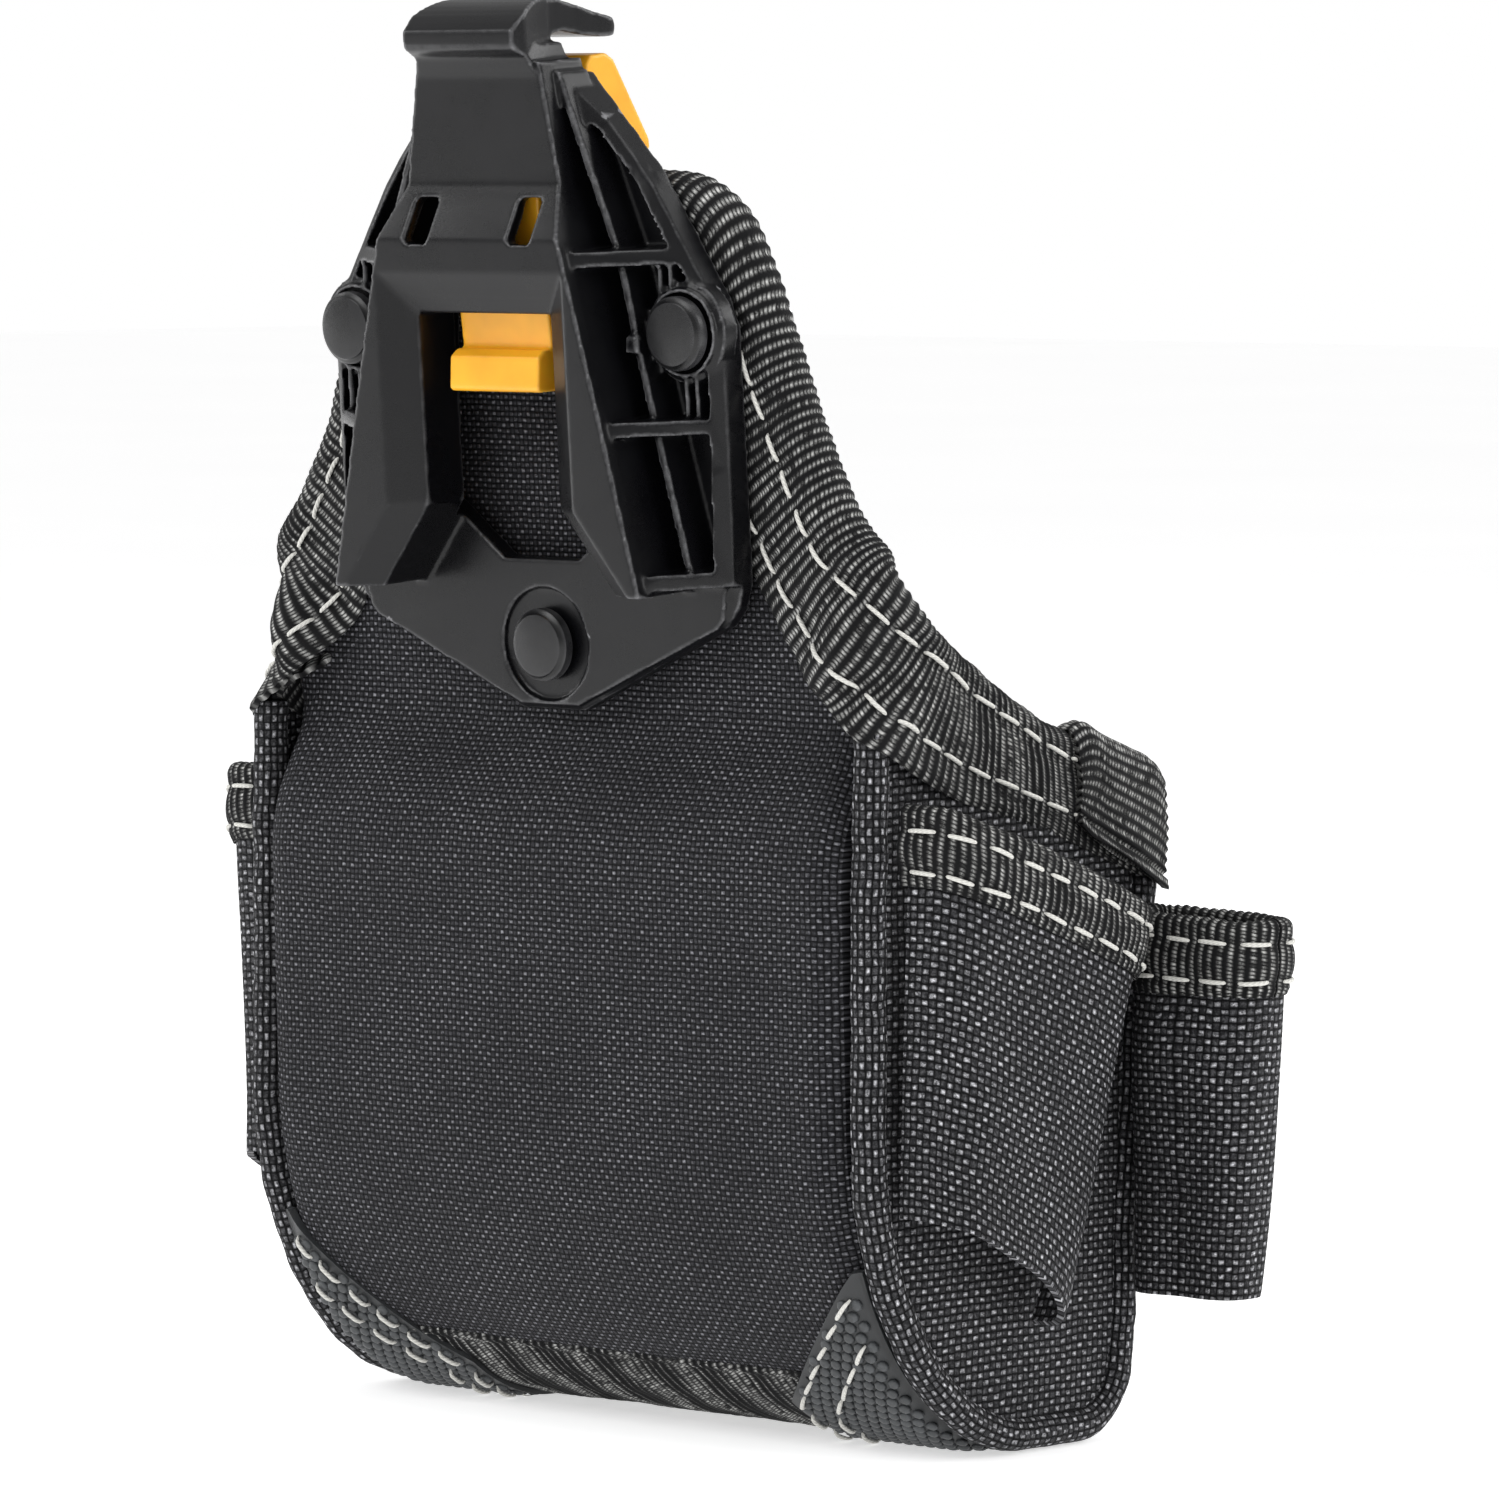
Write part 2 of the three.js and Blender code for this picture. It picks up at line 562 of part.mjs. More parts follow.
function rivet([x, z], face, seat) {
  const cap = barY(x, z, RIVET_CAP_R, face, seat - GAP, 32);
  const shank = barY(x, z, RIVET_SHANK_R, seat - 1, STACK_BACK + 4.4, 16);
  return cap.add(shank);
}

function washer([x, z], layers) {
  const face = STACK_BACK + layers + GAP;
  return barY(x, z, 7.5, face, face + 1.4, 24).subtract(barY(x, z, RIVET_SHANK_R + GAP, 0, 20, 16));
}

// ---------------------------------------------------------------- release lever

function releaseLever() {
  const arm = [vec(PIVOT.y - 2.6, 219), vec(PIVOT.y - 2.6, 208), vec(-15.5, 198), vec(-15, 190), vec(-16.8, 190),
    vec(-18.6, 183.2), vec(-12.6, 183.2), vec(-12.4, 199), vec(PIVOT.y + 2.8, 208), vec(PIVOT.y + 2.8, 219),
    vec(-4, 223.5), vec(12.5, 223.2), vec(12.5, 225.2), vec(3.5, 240.5), vec(-1.5, 240.5), vec(-5, 228),
    vec(-10, 225)];
  const body = plateYZ(arm, -10.8, 10.8);
  return body.subtract(barX(PIVOT.y, PIVOT.z, PIVOT.r + GAP, -20, 20));
}

function pivotPin() {
  return barX(PIVOT.y, PIVOT.z, PIVOT.r, -13.6, 13.6);
}

function returnSpring() {
  return plateYZ([vec(-10.9, 206), vec(-10.1, 206), vec(-8.6, 196), vec(-9.4, 196)], -4, 4);
}

// ---------------------------------------------------------------- materials and assembly

const cloth = { color: 0x1d1e20, roughness: 0.92, metalness: 0 };
const webbing = { color: 0x18191b, roughness: 0.85, metalness: 0 };
const rubber = { color: 0x202123, roughness: 0.6, metalness: 0 };
const nylon = { color: 0x161719, roughness: 0.42, metalness: 0 };
const amber = { color: 0xe6a019, roughness: 0.38, metalness: 0 };
const foam = { color: 0x3a3b3d, roughness: 0.98, metalness: 0 };
const sheet = { color: 0x2a2b2d, roughness: 0.5, metalness: 0 };
const steel = { color: 0xb4b8bc, roughness: 0.35, metalness: 0.9 };
const blackSteel = { color: 0x131415, roughness: 0.3, metalness: 0.4 };

const pouch = new THREE.Group();
const clip = new THREE.Group();
clip.rotation.x = LEAN;
clip.position.z = FOOT_LIFT;

function place(group, name, manifold, look) {
  const mesh = new THREE.Mesh(geometryOf(manifold), new THREE.MeshStandardMaterial(look));
  mesh.name = name;
  group.add(mesh);
}

function placePair(name, manifold, look) {
  place(pouch, `${name}_right`, manifold, look);
  place(pouch, `${name}_left`, flipX(manifold), look);
}

place(pouch, 'back_panel', backPanel(), cloth);
place(pouch, 'back_foam', backFoam(), foam);
place(pouch, 'back_stiffener', backStiffener(), sheet);
place(pouch, 'back_lining', backLining(), cloth);
place(pouch, 'top_binding', topBinding(), webbing);
place(pouch, 'bottom_webbing', bottomWebbing(), webbing);
place(pouch, 'bottom_board', bottomBoard(), sheet);
place(pouch, 'front_panel', frontPanel(), cloth);
place(pouch, 'front_binding', frontBinding(), webbing);
place(pouch, 'front_pocket', frontPocket(), cloth);
place(pouch, 'front_pocket_binding', frontPocketBinding(), webbing);
placePair('gusset', gusset(), cloth);
placePair('gusset_binding', gussetBinding(), webbing);
placePair('corner_tab', cornerTab(), webbing);
placePair('piping', pipingBody(PIPING_R), cloth);
placePair('corner_patch', cornerPatch(), rubber);
placePair('side_loop', sideLoop(), cloth);
placePair('side_loop_binding', sideLoopBinding(), webbing);
placePair('front_loop', frontLoop(), cloth);
placePair('front_loop_binding', frontLoopBinding(), webbing);

place(clip, 'clip_body', clipBody(), nylon);
place(clip, 'release_lever', releaseLever(), amber);
place(clip, 'pivot_pin', pivotPin(), steel);
place(clip, 'return_spring', returnSpring(), steel);
place(clip, 'rivet_left', rivet(RIVETS.left, -15.8, -11), blackSteel);
place(clip, 'rivet_right', rivet(RIVETS.right, -15.8, -11), blackSteel);
place(clip, 'rivet_bottom', rivet(RIVETS.bottom, -12, CLIP_PAD + 1.2), blackSteel);
place(clip, 'washer_left', washer(RIVETS.left, BINDING + GAP), steel);
place(clip, 'washer_right', washer(RIVETS.right, BINDING + GAP), steel);
place(clip, 'washer_bottom', washer(RIVETS.bottom, 0), steel);

// The origin is under the middle of the whole object, on the ground.
const assembly = new THREE.Group();
assembly.add(pouch, clip);
assembly.updateMatrixWorld(true);
const box = new THREE.Box3().setFromObject(assembly, true);
const middle = box.getCenter(new THREE.Vector3());
assembly.position.set(-middle.x, -middle.y, -box.min.z);

export default assembly;
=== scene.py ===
"""Looks for the electrician tool pouch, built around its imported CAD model.

Lengths in the piece-making code are in millimetres of the pouch's own drawing: x to the right, y away
from the wearer, z up from the ground. place() turns them into metres in the row frame.
"""

import math

import bmesh
import bpy
import numpy as np
from mathutils import Matrix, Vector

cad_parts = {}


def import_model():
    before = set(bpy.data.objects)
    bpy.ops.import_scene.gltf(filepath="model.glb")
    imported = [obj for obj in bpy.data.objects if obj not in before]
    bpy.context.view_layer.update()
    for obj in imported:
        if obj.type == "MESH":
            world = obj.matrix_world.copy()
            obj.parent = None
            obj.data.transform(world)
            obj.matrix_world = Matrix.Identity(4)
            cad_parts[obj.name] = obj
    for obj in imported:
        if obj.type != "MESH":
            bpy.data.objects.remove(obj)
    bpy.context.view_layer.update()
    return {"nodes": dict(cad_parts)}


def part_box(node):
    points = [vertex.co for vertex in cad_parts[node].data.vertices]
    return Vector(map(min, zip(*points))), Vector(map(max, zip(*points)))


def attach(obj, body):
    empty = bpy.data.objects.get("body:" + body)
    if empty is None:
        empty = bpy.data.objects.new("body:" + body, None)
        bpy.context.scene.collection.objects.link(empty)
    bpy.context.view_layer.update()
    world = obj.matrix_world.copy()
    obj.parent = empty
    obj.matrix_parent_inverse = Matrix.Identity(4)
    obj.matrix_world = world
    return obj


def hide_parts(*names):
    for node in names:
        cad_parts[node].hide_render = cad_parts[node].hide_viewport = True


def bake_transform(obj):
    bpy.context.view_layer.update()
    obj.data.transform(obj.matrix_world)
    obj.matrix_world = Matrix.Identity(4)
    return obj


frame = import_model()

MM = 0.001
DRAWING_SHIFT = np.array([0.0, -14.516, 0.0])
SOFT_GROUND = 0.5
LEAN = math.radians(4.3)
THROUGH_BACK = np.array([0.0, math.cos(LEAN), math.sin(LEAN)])
FOOT_LIFT = 6.0
FULL_TURN = 2 * math.pi
POUCH = "pouch"
LEVER = "release_lever"
BOTH_SIDES = ((1, "right"), (-1, "left"))


def place(points):
    """Drawing millimetres to metres in the row frame. What would sink below the ground is flattened."""
    p = np.asarray(points, float) + DRAWING_SHIFT
    z = p[..., 2]
    pressed = SOFT_GROUND * np.exp(np.minimum(z - SOFT_GROUND, 0) / SOFT_GROUND)
    p[..., 2] = np.where(z < SOFT_GROUND, pressed, z)
    return p * MM


def lean(points):
    """Points (x, y, z) drawn on the upright back, tipped back by the lean."""
    p = np.asarray(points, float)
    y = p[..., 1] * math.cos(LEAN) - p[..., 2] * math.sin(LEAN)
    z = p[..., 1] * math.sin(LEAN) + p[..., 2] * math.cos(LEAN) + FOOT_LIFT
    return np.stack([p[..., 0], y, z], axis=-1)


def upright(z):
    """The height on the upright back, before the lean, of height z."""
    return (z - FOOT_LIFT) / math.cos(LEAN)


# Curves and grids ---------------------------------------------------------------------------------


def route(start, *parts, steps=24):
    """A polyline from a start point and parts: 2 numbers a line, 4 a quadratic, 6 a cubic bezier."""
    points = [np.array(start, float)]
    for part in parts:
        ends = [points[-1]] + [np.array(part[i : i + 2], float) for i in range(0, len(part), 2)]
        t = np.linspace(0, 1, steps + 1)[1:, None]
        if len(ends) == 2:
            curve = ends[0] * (1 - t) + ends[1] * t
        elif len(ends) == 3:
            curve = ends[0] * (1 - t) ** 2 + 2 * ends[1] * t * (1 - t) + ends[2] * t**2
        else:
            curve = ends[0] * (1 - t) ** 3 + 3 * ends[1] * t * (1 - t) ** 2
            curve = curve + 3 * ends[2] * t**2 * (1 - t) + ends[3] * t**3
        points.extend(curve)
    return np.array(points)


def lengths(line):
    return np.concatenate([[0], np.cumsum(np.linalg.norm(np.diff(line, axis=0), axis=1))])


def at(line, where, values=None):
    """Points on a polyline at distances along it, or the values there of what is given at its points."""
    s = lengths(line)
    values = line if values is None else values
    return np.stack([np.interp(where, s, column) for column in values.T], axis=1)


def even(line, count):
    return at(line, np.linspace(0, lengths(line)[-1], count))


def smooth(line, rounds):
    line = line.copy()
    for _ in range(rounds):
        line[1:-1] = (line[:-2] + 2 * line[1:-1] + line[2:]) / 4
    return line


def spline(points, count):
    """An even smooth curve through points (Catmull-Rom)."""
    p = np.array(points, float)
    p = np.vstack([2 * p[0] - p[1], p, 2 * p[-1] - p[-2]])
    t = np.linspace(0, 1, 24, endpoint=False)[:, None]
    out = []
    for a, b, c, d in zip(p, p[1:], p[2:], p[3:]):
        bend = (2 * a - 5 * b + 4 * c - d) * t**2 + (3 * b - a - 3 * c + d) * t**3
        out.append(0.5 * (2 * b + (c - a) * t + bend))
    return even(np.vstack(out + [p[-2:-1]]), count)


def unit(v):
    return v / (np.linalg.norm(v, axis=-1, keepdims=True) + 1e-12)


def sides(line):
    """Unit normals of a plane polyline, to the right of its direction."""
    d = unit(np.gradient(line, axis=0))
    return np.stack([d[:, 1], -d[:, 0]], axis=1)


def ease(x):
    x = np.clip(x, 0, 1)
    return x * x * (3 - 2 * x)


def mirrored(p):
    return p * np.array([-1.0, 1.0, 1.0])


def wave_noise(a, b, seed, size):
    """Smooth noise about -1..1 at points (a, b), with features of about the given size."""
    rng = np.random.default_rng(seed)
    total = np.zeros(np.broadcast(a, b).shape)
    for _ in range(9):
        angle = rng.uniform(0, FULL_TURN)
        k = FULL_TURN / (size * rng.uniform(0.75, 1.6))
        total += np.sin(k * (a * math.cos(angle) + b * math.sin(angle)) + rng.uniform(0, FULL_TURN))
    return total / 4.5


def grid_normals(p, closed=False):
    if closed:
        du = np.roll(p, -1, axis=0) - np.roll(p, 1, axis=0)
    else:
        du = np.gradient(p, axis=0)
    return unit(np.cross(du, np.gradient(p, axis=1)))


def facing(p, uv, outward):
    """The grid with its rows turned about, if need be, so that its normals look outward."""
    if np.sum(grid_normals(p) * outward) < 0:
        return p[::-1], uv[::-1]
    return p, uv


# Meshes and pieces --------------------------------------------------------------------------------


def add_object(name, data):
    made = bpy.data.objects.new(name, data)
    bpy.context.collection.objects.link(made)
    return made


def finish_piece(name, mesh, material, body=POUCH, hides=()):
    """Makes an object of a mesh, with its material, body and the CAD nodes it stands for."""
    mesh.name = name
    mesh.materials.clear()
    mesh.materials.append(material)
    mesh.validate()
    mesh.update()
    piece = add_object(name, mesh)
    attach(piece, body)
    if hides:
        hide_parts(*hides)
    return piece


def edited(mesh, change):
    """Runs a change, a function of a bmesh, on a mesh."""
    bm = bmesh.new()
    bm.from_mesh(mesh)
    change(bm)
    bm.to_mesh(mesh)
    bm.free()
    return mesh


def merge_points(bm, distance=2e-6):
    """Joins points that coincide, and drops loose ones."""
    bmesh.ops.remove_doubles(bm, verts=bm.verts, dist=distance)
    bmesh.ops.delete(bm, geom=[v for v in bm.verts if not v.link_faces], context="VERTS")


def face_outward(bm):
    bmesh.ops.recalc_face_normals(bm, faces=bm.faces)


def raw_mesh(points, faces, uv=None, sharp=None):
    """A smooth-shaded mesh from drawing points. uv gives one pair of millimetres per corner."""
    mesh = bpy.data.meshes.new("raw")
    mesh.from_pydata(place(points).tolist(), [], faces)
    mesh.polygons.foreach_set("use_smooth", np.ones(len(faces), bool))
    if uv is not None:
        mesh.uv_layers.new(name="cloth").data.foreach_set("uv", np.asarray(uv, float).ravel())
    if sharp:
        mesh.set_sharp_from_angle(angle=math.radians(sharp))
    return mesh


def shell(p, uv, thick, closed=False, normals=None):
    """A sheet with thickness: p is its outer side as a grid, and uv the millimetres along the cloth.

    A closed grid repeats its first row as its last, so that the uv has no seam.
    """
    rows, cols = p.shape[:2]
    half = rows * cols
    if normals is None and closed:
        normals = grid_normals(p[:-1], True)
        normals = np.concatenate([normals, normals[:1]])
    elif normals is None:
        normals = grid_normals(p)
    thick = np.broadcast_to(np.asarray(thick, float), (rows, cols))[..., None]
    points = np.concatenate([p.reshape(-1, 3), (p - normals * thick).reshape(-1, 3)])
    i, j = np.meshgrid(np.arange(rows - 1), np.arange(cols - 1), indexing="ij")
    first = (i * cols + j).ravel()
    outer = np.stack([first, first + cols, first + cols + 1, first + 1], axis=1)
    across, along = np.arange(cols), np.arange(rows)
    rims = [along * cols + cols - 1, (along * cols)[::-1]]
    if not closed:
        rims += [across, ((rows - 1) * cols + across)[::-1]]
    faces = [outer, outer[:, ::-1] + half]
    for rim in rims:
        a, b = rim[:-1], rim[1:]
        faces.append(np.stack([b, a, a + half, b + half], axis=1))
    faces = np.concatenate(faces)
    flat_uv = np.concatenate([uv.reshape(-1, 2)] * 2)[faces]
    if closed:
        same = np.arange(2 * half)
        last = (rows - 1) * cols + across
        same[last] = across
        same[last + half] = across + half
        faces = same[faces]
    mesh = raw_mesh(points, faces.tolist(), flat_uv, sharp=50)
    return edited(mesh, merge_points)


def cloth_piece(name, grid, outward, thick, material, hides, closed=False):
    """A sheet of cloth as a piece. grid is its outer side and uv."""
    p, uv = facing(*grid, outward)
    piece = finish_piece(name, shell(p, uv, thick, closed), material, hides=hides)


def tube_grid(line, radius, around, normals):
    """Rings round a 3D polyline, as points (n, around + 1, 3)."""
    t = unit(np.gradient(line, axis=0))
    b = unit(np.cross(t, normals))
    n = np.cross(b, t)
    angle = np.linspace(0, FULL_TURN, around + 1)[None, :, None]
    radius = np.broadcast_to(radius, len(line))[:, None, None]
    return line[:, None] + radius * (np.cos(angle) * n[:, None] + np.sin(angle) * b[:, None])


def tubes_mesh(grids, girth):
    """Closed tubes with flat caps joined in one mesh. Each grid is (n, around + 1, 3)."""
    points, faces, uv, base = [], [], [], 0
    for grid in grids:
        n, m = grid.shape[0], grid.shape[1] - 1
        along = lengths(grid.mean(axis=1))
        turn = np.linspace(0, 1, m + 1) * girth
        points.append(grid[:, :m].reshape(-1, 3))
        for i in range(n - 1):
            low, high = base + i * m, base + (i + 1) * m
            for j in range(m):
                k = (j + 1) % m
                faces.append([low + j, low + k, high + k, high + j])
                corners = ((i, j), (i, j + 1), (i + 1, j + 1), (i + 1, j))
                uv += [(along[a], turn[b]) for a, b in corners]
        faces.append(list(range(base, base + m))[::-1])
        faces.append(list(range(base + (n - 1) * m, base + n * m)))
        uv += [(0, 0)] * (2 * m)
        base += n * m
    return raw_mesh(np.concatenate(points), faces, uv)


# Stitching ----------------------------------------------------------------------------------------

THREAD_R = 0.41
STITCH = 6.3
STITCH_PITCH = 7.3
THREAD_GIRTH = 2.6


def stitch_grids(line, normals, rng, stitch=STITCH, pitch=STITCH_PITCH):
    """Lock stitches along a line on cloth: each lies on the cloth and dives in at both ends."""
    total = lengths(line)[-1]
    count = max(1, int(total / pitch))
    step = total / count
    t = np.linspace(-1, 1, 9)
    grids = []
    for i in range(count):
        mid = (i + 0.5) * step + rng.uniform(-0.35, 0.35)
        half = stitch / 2 + rng.uniform(-0.35, 0.25)
        s = np.clip(mid + t * half, 0, total)
        p = at(line, s)
        n = unit(at(line, s, normals))
        side = unit(np.cross(unit(np.gradient(p, axis=0)), n))
        rise = THREAD_R * (1.25 - 2.6 * np.abs(t) ** 5)
        tilt = rng.uniform(-0.22, 0.22)
        p = p + n * rise[:, None] + side * (t * tilt)[:, None]
        grids.append(tube_grid(p, THREAD_R * (1 - 0.45 * np.abs(t) ** 4), 7, n))
    return grids


def sew(name, lines, seed, trim=2.0, **size):
    """Stitches along lines of (points, normals), as one piece. trim is left bare at both ends of each."""
    rng = np.random.default_rng(seed)
    grids = []
    for line, normal in lines:
        s = lengths(line)
        keep = (s > trim) & (s < s[-1] - trim)
        grids += stitch_grids(line[keep], normal[keep], rng, **size)
    finish_piece(name, tubes_mesh(grids, THREAD_GIRTH), THREAD)


# Materials ----------------------------------------------------------------------------------------


class Value:
    """A number that a material works out. Its arithmetic adds Math nodes."""

    def __init__(self, look, socket):
        self.look = look
        self.socket = socket

    def __add__(self, other):
        return self.look.math("ADD", self, other)

    def __sub__(self, other):
        return self.look.math("SUBTRACT", self, other)

    def __rsub__(self, other):
        return self.look.math("SUBTRACT", other, self)

    def __mul__(self, other):
        return self.look.math("MULTIPLY", self, other)

    def __truediv__(self, other):
        return self.look.math("DIVIDE", self, other)

    def __pow__(self, other):
        return self.look.math("POWER", self, other)

    def __mod__(self, other):
        return self.look.math("FLOORED_MODULO", self, other)

    def __abs__(self):
        return self.look.math("ABSOLUTE", self)

    def floor(self):
        return self.look.math("FLOOR", self)

    def fraction(self):
        return self.look.math("FRACT", self)

    def at_least(self, low):
        return self.look.math("MAXIMUM", self, low)

    def at_most(self, high):
        return self.look.math("MINIMUM", self, high)

    def mapped(self, a, b, c, d):
        """a..b turned into c..d, and held there outside it."""
        node = self.look.add("MapRange", self, a, b, c, d)
        return Value(self.look, node.outputs[0])


class Look:
    """A node material, with short calls for the nodes that the looks share."""

    def __init__(self, name):
        self.material = bpy.data.materials.new(name)
        self.material.use_nodes = True
        self.tree = self.material.node_tree
        self.tree.nodes.clear()
        self.shader = self.add("BsdfPrincipled")
        self.tree.links.new(self.shader.outputs[0], self.add("OutputMaterial").inputs[0])

    def feed(self, socket, value):
        if isinstance(value, Value):
            self.tree.links.new(value.socket, socket)
        elif isinstance(value, tuple) and len(value) == 3:
            socket.default_value = (*value, 1.0)
        elif value is not None:
            socket.default_value = value

    def add(self, kind, *values):
        """A new node, with values for its first sockets."""
        node = self.tree.nodes.new("ShaderNode" + kind)
        for socket, value in zip(node.inputs, values):
            self.feed(socket, value)
        return node

    def math(self, kind, *values):
        node = self.add("Math", *values)
        node.operation = kind
        return Value(self, node.outputs[0])

    def cloth(self):
        """Cloth coordinates u and v in millimetres, and the two as one vector."""
        node = self.add("UVMap")
        node.uv_map = "cloth"
        split = self.add("SeparateXYZ", Value(self, node.outputs[0]))
        u, v = (Value(self, socket) for socket in split.outputs[:2])
        return u, v, self.vector(u, v)

    def vector(self, x, y):
        return Value(self, self.add("CombineXYZ", x, y).outputs[0])

    def place(self):
        return Value(self, self.add("TexCoord").outputs["Object"])

    def edge(self):
        """How far the surface bends outward: over 0.5 on an edge."""
        return Value(self, self.add("NewGeometry").outputs["Pointiness"])

    def noise(self, vector, scale, detail=2.0, rough=0.55):
        node = self.add("TexNoise")
        for name, value in zip(("Vector", "Scale", "Detail", "Roughness"), (vector, scale, detail, rough)):
            self.feed(node.inputs[name], value)
        return Value(self, node.outputs[0])

    def mix(self, share, a, b):
        node = self.add("Mix", share)
        node.data_type = "RGBA"
        self.feed(node.inputs[6], a)
        self.feed(node.inputs[7], b)
        return Value(self, node.outputs[2])

    def bump(self, height, distance, strength=1.0):
        """A normal from heights 0..1 that stand for the distance in millimetres."""
        node = self.add("Bump")
        for name, value in zip(("Height", "Distance", "Strength"), (height, distance * MM, strength)):
            self.feed(node.inputs[name], value)
        return Value(self, node.outputs[0])

    def done(self, colour, rough, normal=None, **fixed):
        for name, value in zip(("Base Color", "Roughness", "Normal"), (colour, rough, normal)):
            self.feed(self.shader.inputs[name], value)
        for name, value in fixed.items():
            self.shader.inputs[name.replace("_", " ")].default_value = value
        return self.material


def shade(colour, share):
    return tuple(c * share for c in colour)


def weave_look(name, across, along, dark, light, shine):
    """Plain weave of thick filament yarn. across and along are the yarn spacings in millimetres. light is the
    colour of the painted glints on the floats, and the gaps between the yarns are painted darker as shade.
    """
    k = Look(name)
    u, v, cloth = k.cloth()
    wander = k.noise(cloth, 0.07, 2)
    slub = k.noise(cloth, 0.42, 1) - 0.5
    across_at = u / across + wander * 0.9 + slub * 0.28
    along_at = v / along + wander * 0.7 + slub * 0.32
    on_top = (across_at.floor() + along_at.floor()) % 2.0
    under = 1.0 - on_top
    fu = across_at.fraction() - 0.5
    fv = along_at.fraction() - 0.5
    hump_u = 1.0 - fu * fu * 4.0
    hump_v = 1.0 - fv * fv * 4.0
    weft = hump_u**0.75 * hump_v**0.9
    warp = hump_v**0.75 * hump_u**0.9 * 0.62
    height = on_top * weft + under * warp
    streak_u = k.noise(k.vector(u * 0.55, v * 5.5), 1.6, 3)
    streak_v = k.noise(k.vector(u * 5.5, v * 0.55), 1.6, 3)
    streak = on_top * streak_u + under * streak_v
    patchy = k.noise(cloth, 0.035, 3).mapped(0.3, 0.7, 0.75, 1.25)
    glint = k.noise(cloth, 1.1, 2, 0.7).mapped(0.42, 0.66, 0.15, 1.0)
    flat_u = (1.0 - (abs(fu) * 2.2) ** 3.0).at_least(0.0)
    slim_v = (1.0 - (abs(fv) * 2.9) ** 2.0).at_least(0.0)
    # Painted glints: bright dashes on the floats, where highlights would fall, in the light colour
    painted_light = (flat_u * slim_v * on_top + warp * 0.22 * under) * glint
    painted_light = (painted_light * streak.mapped(0.35, 0.65, 0.5, 1.25) * patchy).at_most(1.0)
    # Painted shade: darker down in the gaps between the yarns
    filled = height.mapped(0.12, 0.62, 0.0, 1.0) * streak.mapped(0.3, 0.7, 0.55, 1.0)
    yarn = k.mix(filled, shade(dark, 0.22), dark)
    normal = k.bump(height + streak * 0.32, 0.5)
    rough = painted_light.mapped(0.0, 1.0, 0.62, shine)
    return k.done(k.mix(painted_light, yarn, light), rough, normal, Specular_IOR_Level=0.09, Sheen_Weight=0.02,
                  Sheen_Roughness=0.4)


def webbing_look(name, dark, light, pitch, dash):
    """Ribbed webbing: ribs across it at the pitch, each a column of short yarn dashes, with painted
    highlights on the dashes in the light colour.
    """
    k = Look(name)
    u, v, cloth = k.cloth()
    wander = k.noise(cloth, 0.12, 2)
    ribs = u / pitch + (wander - 0.5) * 0.35
    rib = ribs.floor()
    fu = ribs.fraction() - 0.5
    hump = 1.0 - fu * fu * 4.0
    rows = v / dash + rib % 2.0 * 0.5 + fu * 0.55 + wander * 0.6
    fv = rows.fraction() - 0.5
    bead = (1.0 - fv * fv * 4.0) ** 0.7 * hump**3.4
    cell = k.noise(k.vector(rib * 7.31, rows.floor()), 1.7, 0)
    fine = k.noise(cloth, 2.6, 2, 0.7)
    glint = (cell * 0.5 + fine * 0.5).mapped(0.38, 0.64, 0.06, 1.0)
    patchy = k.noise(cloth, 0.06, 2).mapped(0.3, 0.7, 0.7, 1.25)
    # Painted highlights on the tops of the yarn dashes, dark between them
    painted_light = (bead**1.8 * glint * patchy).at_most(1.0)
    normal = k.bump(bead + fine * 0.35, 0.28, 0.9)
    return k.done(k.mix(painted_light, dark, light), painted_light.mapped(0, 1, 0.66, 0.4), normal, Specular_IOR_Level=0.1,
                  Sheen_Weight=0.02, Sheen_Roughness=0.4)


def thread_look(name, colour):
    """Twisted thread with a little fuzz, painted lighter on the crown of each ply and darker in the grooves
    between plies as shade.
    """
    k = Look(name)
    u, v, _ = k.cloth()
    ply = abs((u / 0.95 + v).fraction() - 0.5) * 2.0
    fuzz = k.noise(k.vector(u, v * 3.0), 3.0, 2)
    # Painted light on the crowns of the plies, painted shade in the grooves between them
    painted_light = ply.mapped(0.0, 1.0, 1.0, 0.55) * fuzz.mapped(0.2, 0.8, 0.8, 1.05)
    body = k.mix(painted_light, shade(colour, 0.35), colour)
    return k.done(body, 0.6, k.bump(1.0 - ply, 0.12, 0.7), Sheen_Weight=0.15, Specular_IOR_Level=0.35)


def moulded_look(name, colour, bright, rough, grain, relief, edge_highlight_and_wear_amount=0.5, **fixed):
    """Moulded plastic: fine spark-eroded grain, uneven gloss and paler edges, a painted highlight mixed with
    wear.
    """
    k = Look(name)
    where = k.place()
    fine = k.noise(where, grain, 3, 0.6)
    cloud = k.noise(where, 60.0, 3, 0.6)
    scuff = k.noise(where, 420.0, 4, 0.7)
    # Painted edge highlight and wear: paler where the surface bends outward, broken up by a scuff pattern, in
    # the bright colour
    edge_highlight_and_wear = (k.edge().mapped(0.515, 0.58, 0.0, edge_highlight_and_wear_amount) * scuff.mapped(0.35, 0.6, 0.35, 1.0)).at_most(1.0)
    tone = k.mix(cloud.mapped(0.3, 0.7, 0.0, 1.0), colour, shade(colour, 1.35))
    gloss = cloud.mapped(0.3, 0.7, rough - 0.04, rough + 0.05) + (fine - 0.5) * 0.16
    return k.done(k.mix(edge_highlight_and_wear, tone, bright), gloss, k.bump(fine, relief, 0.6), **fixed)


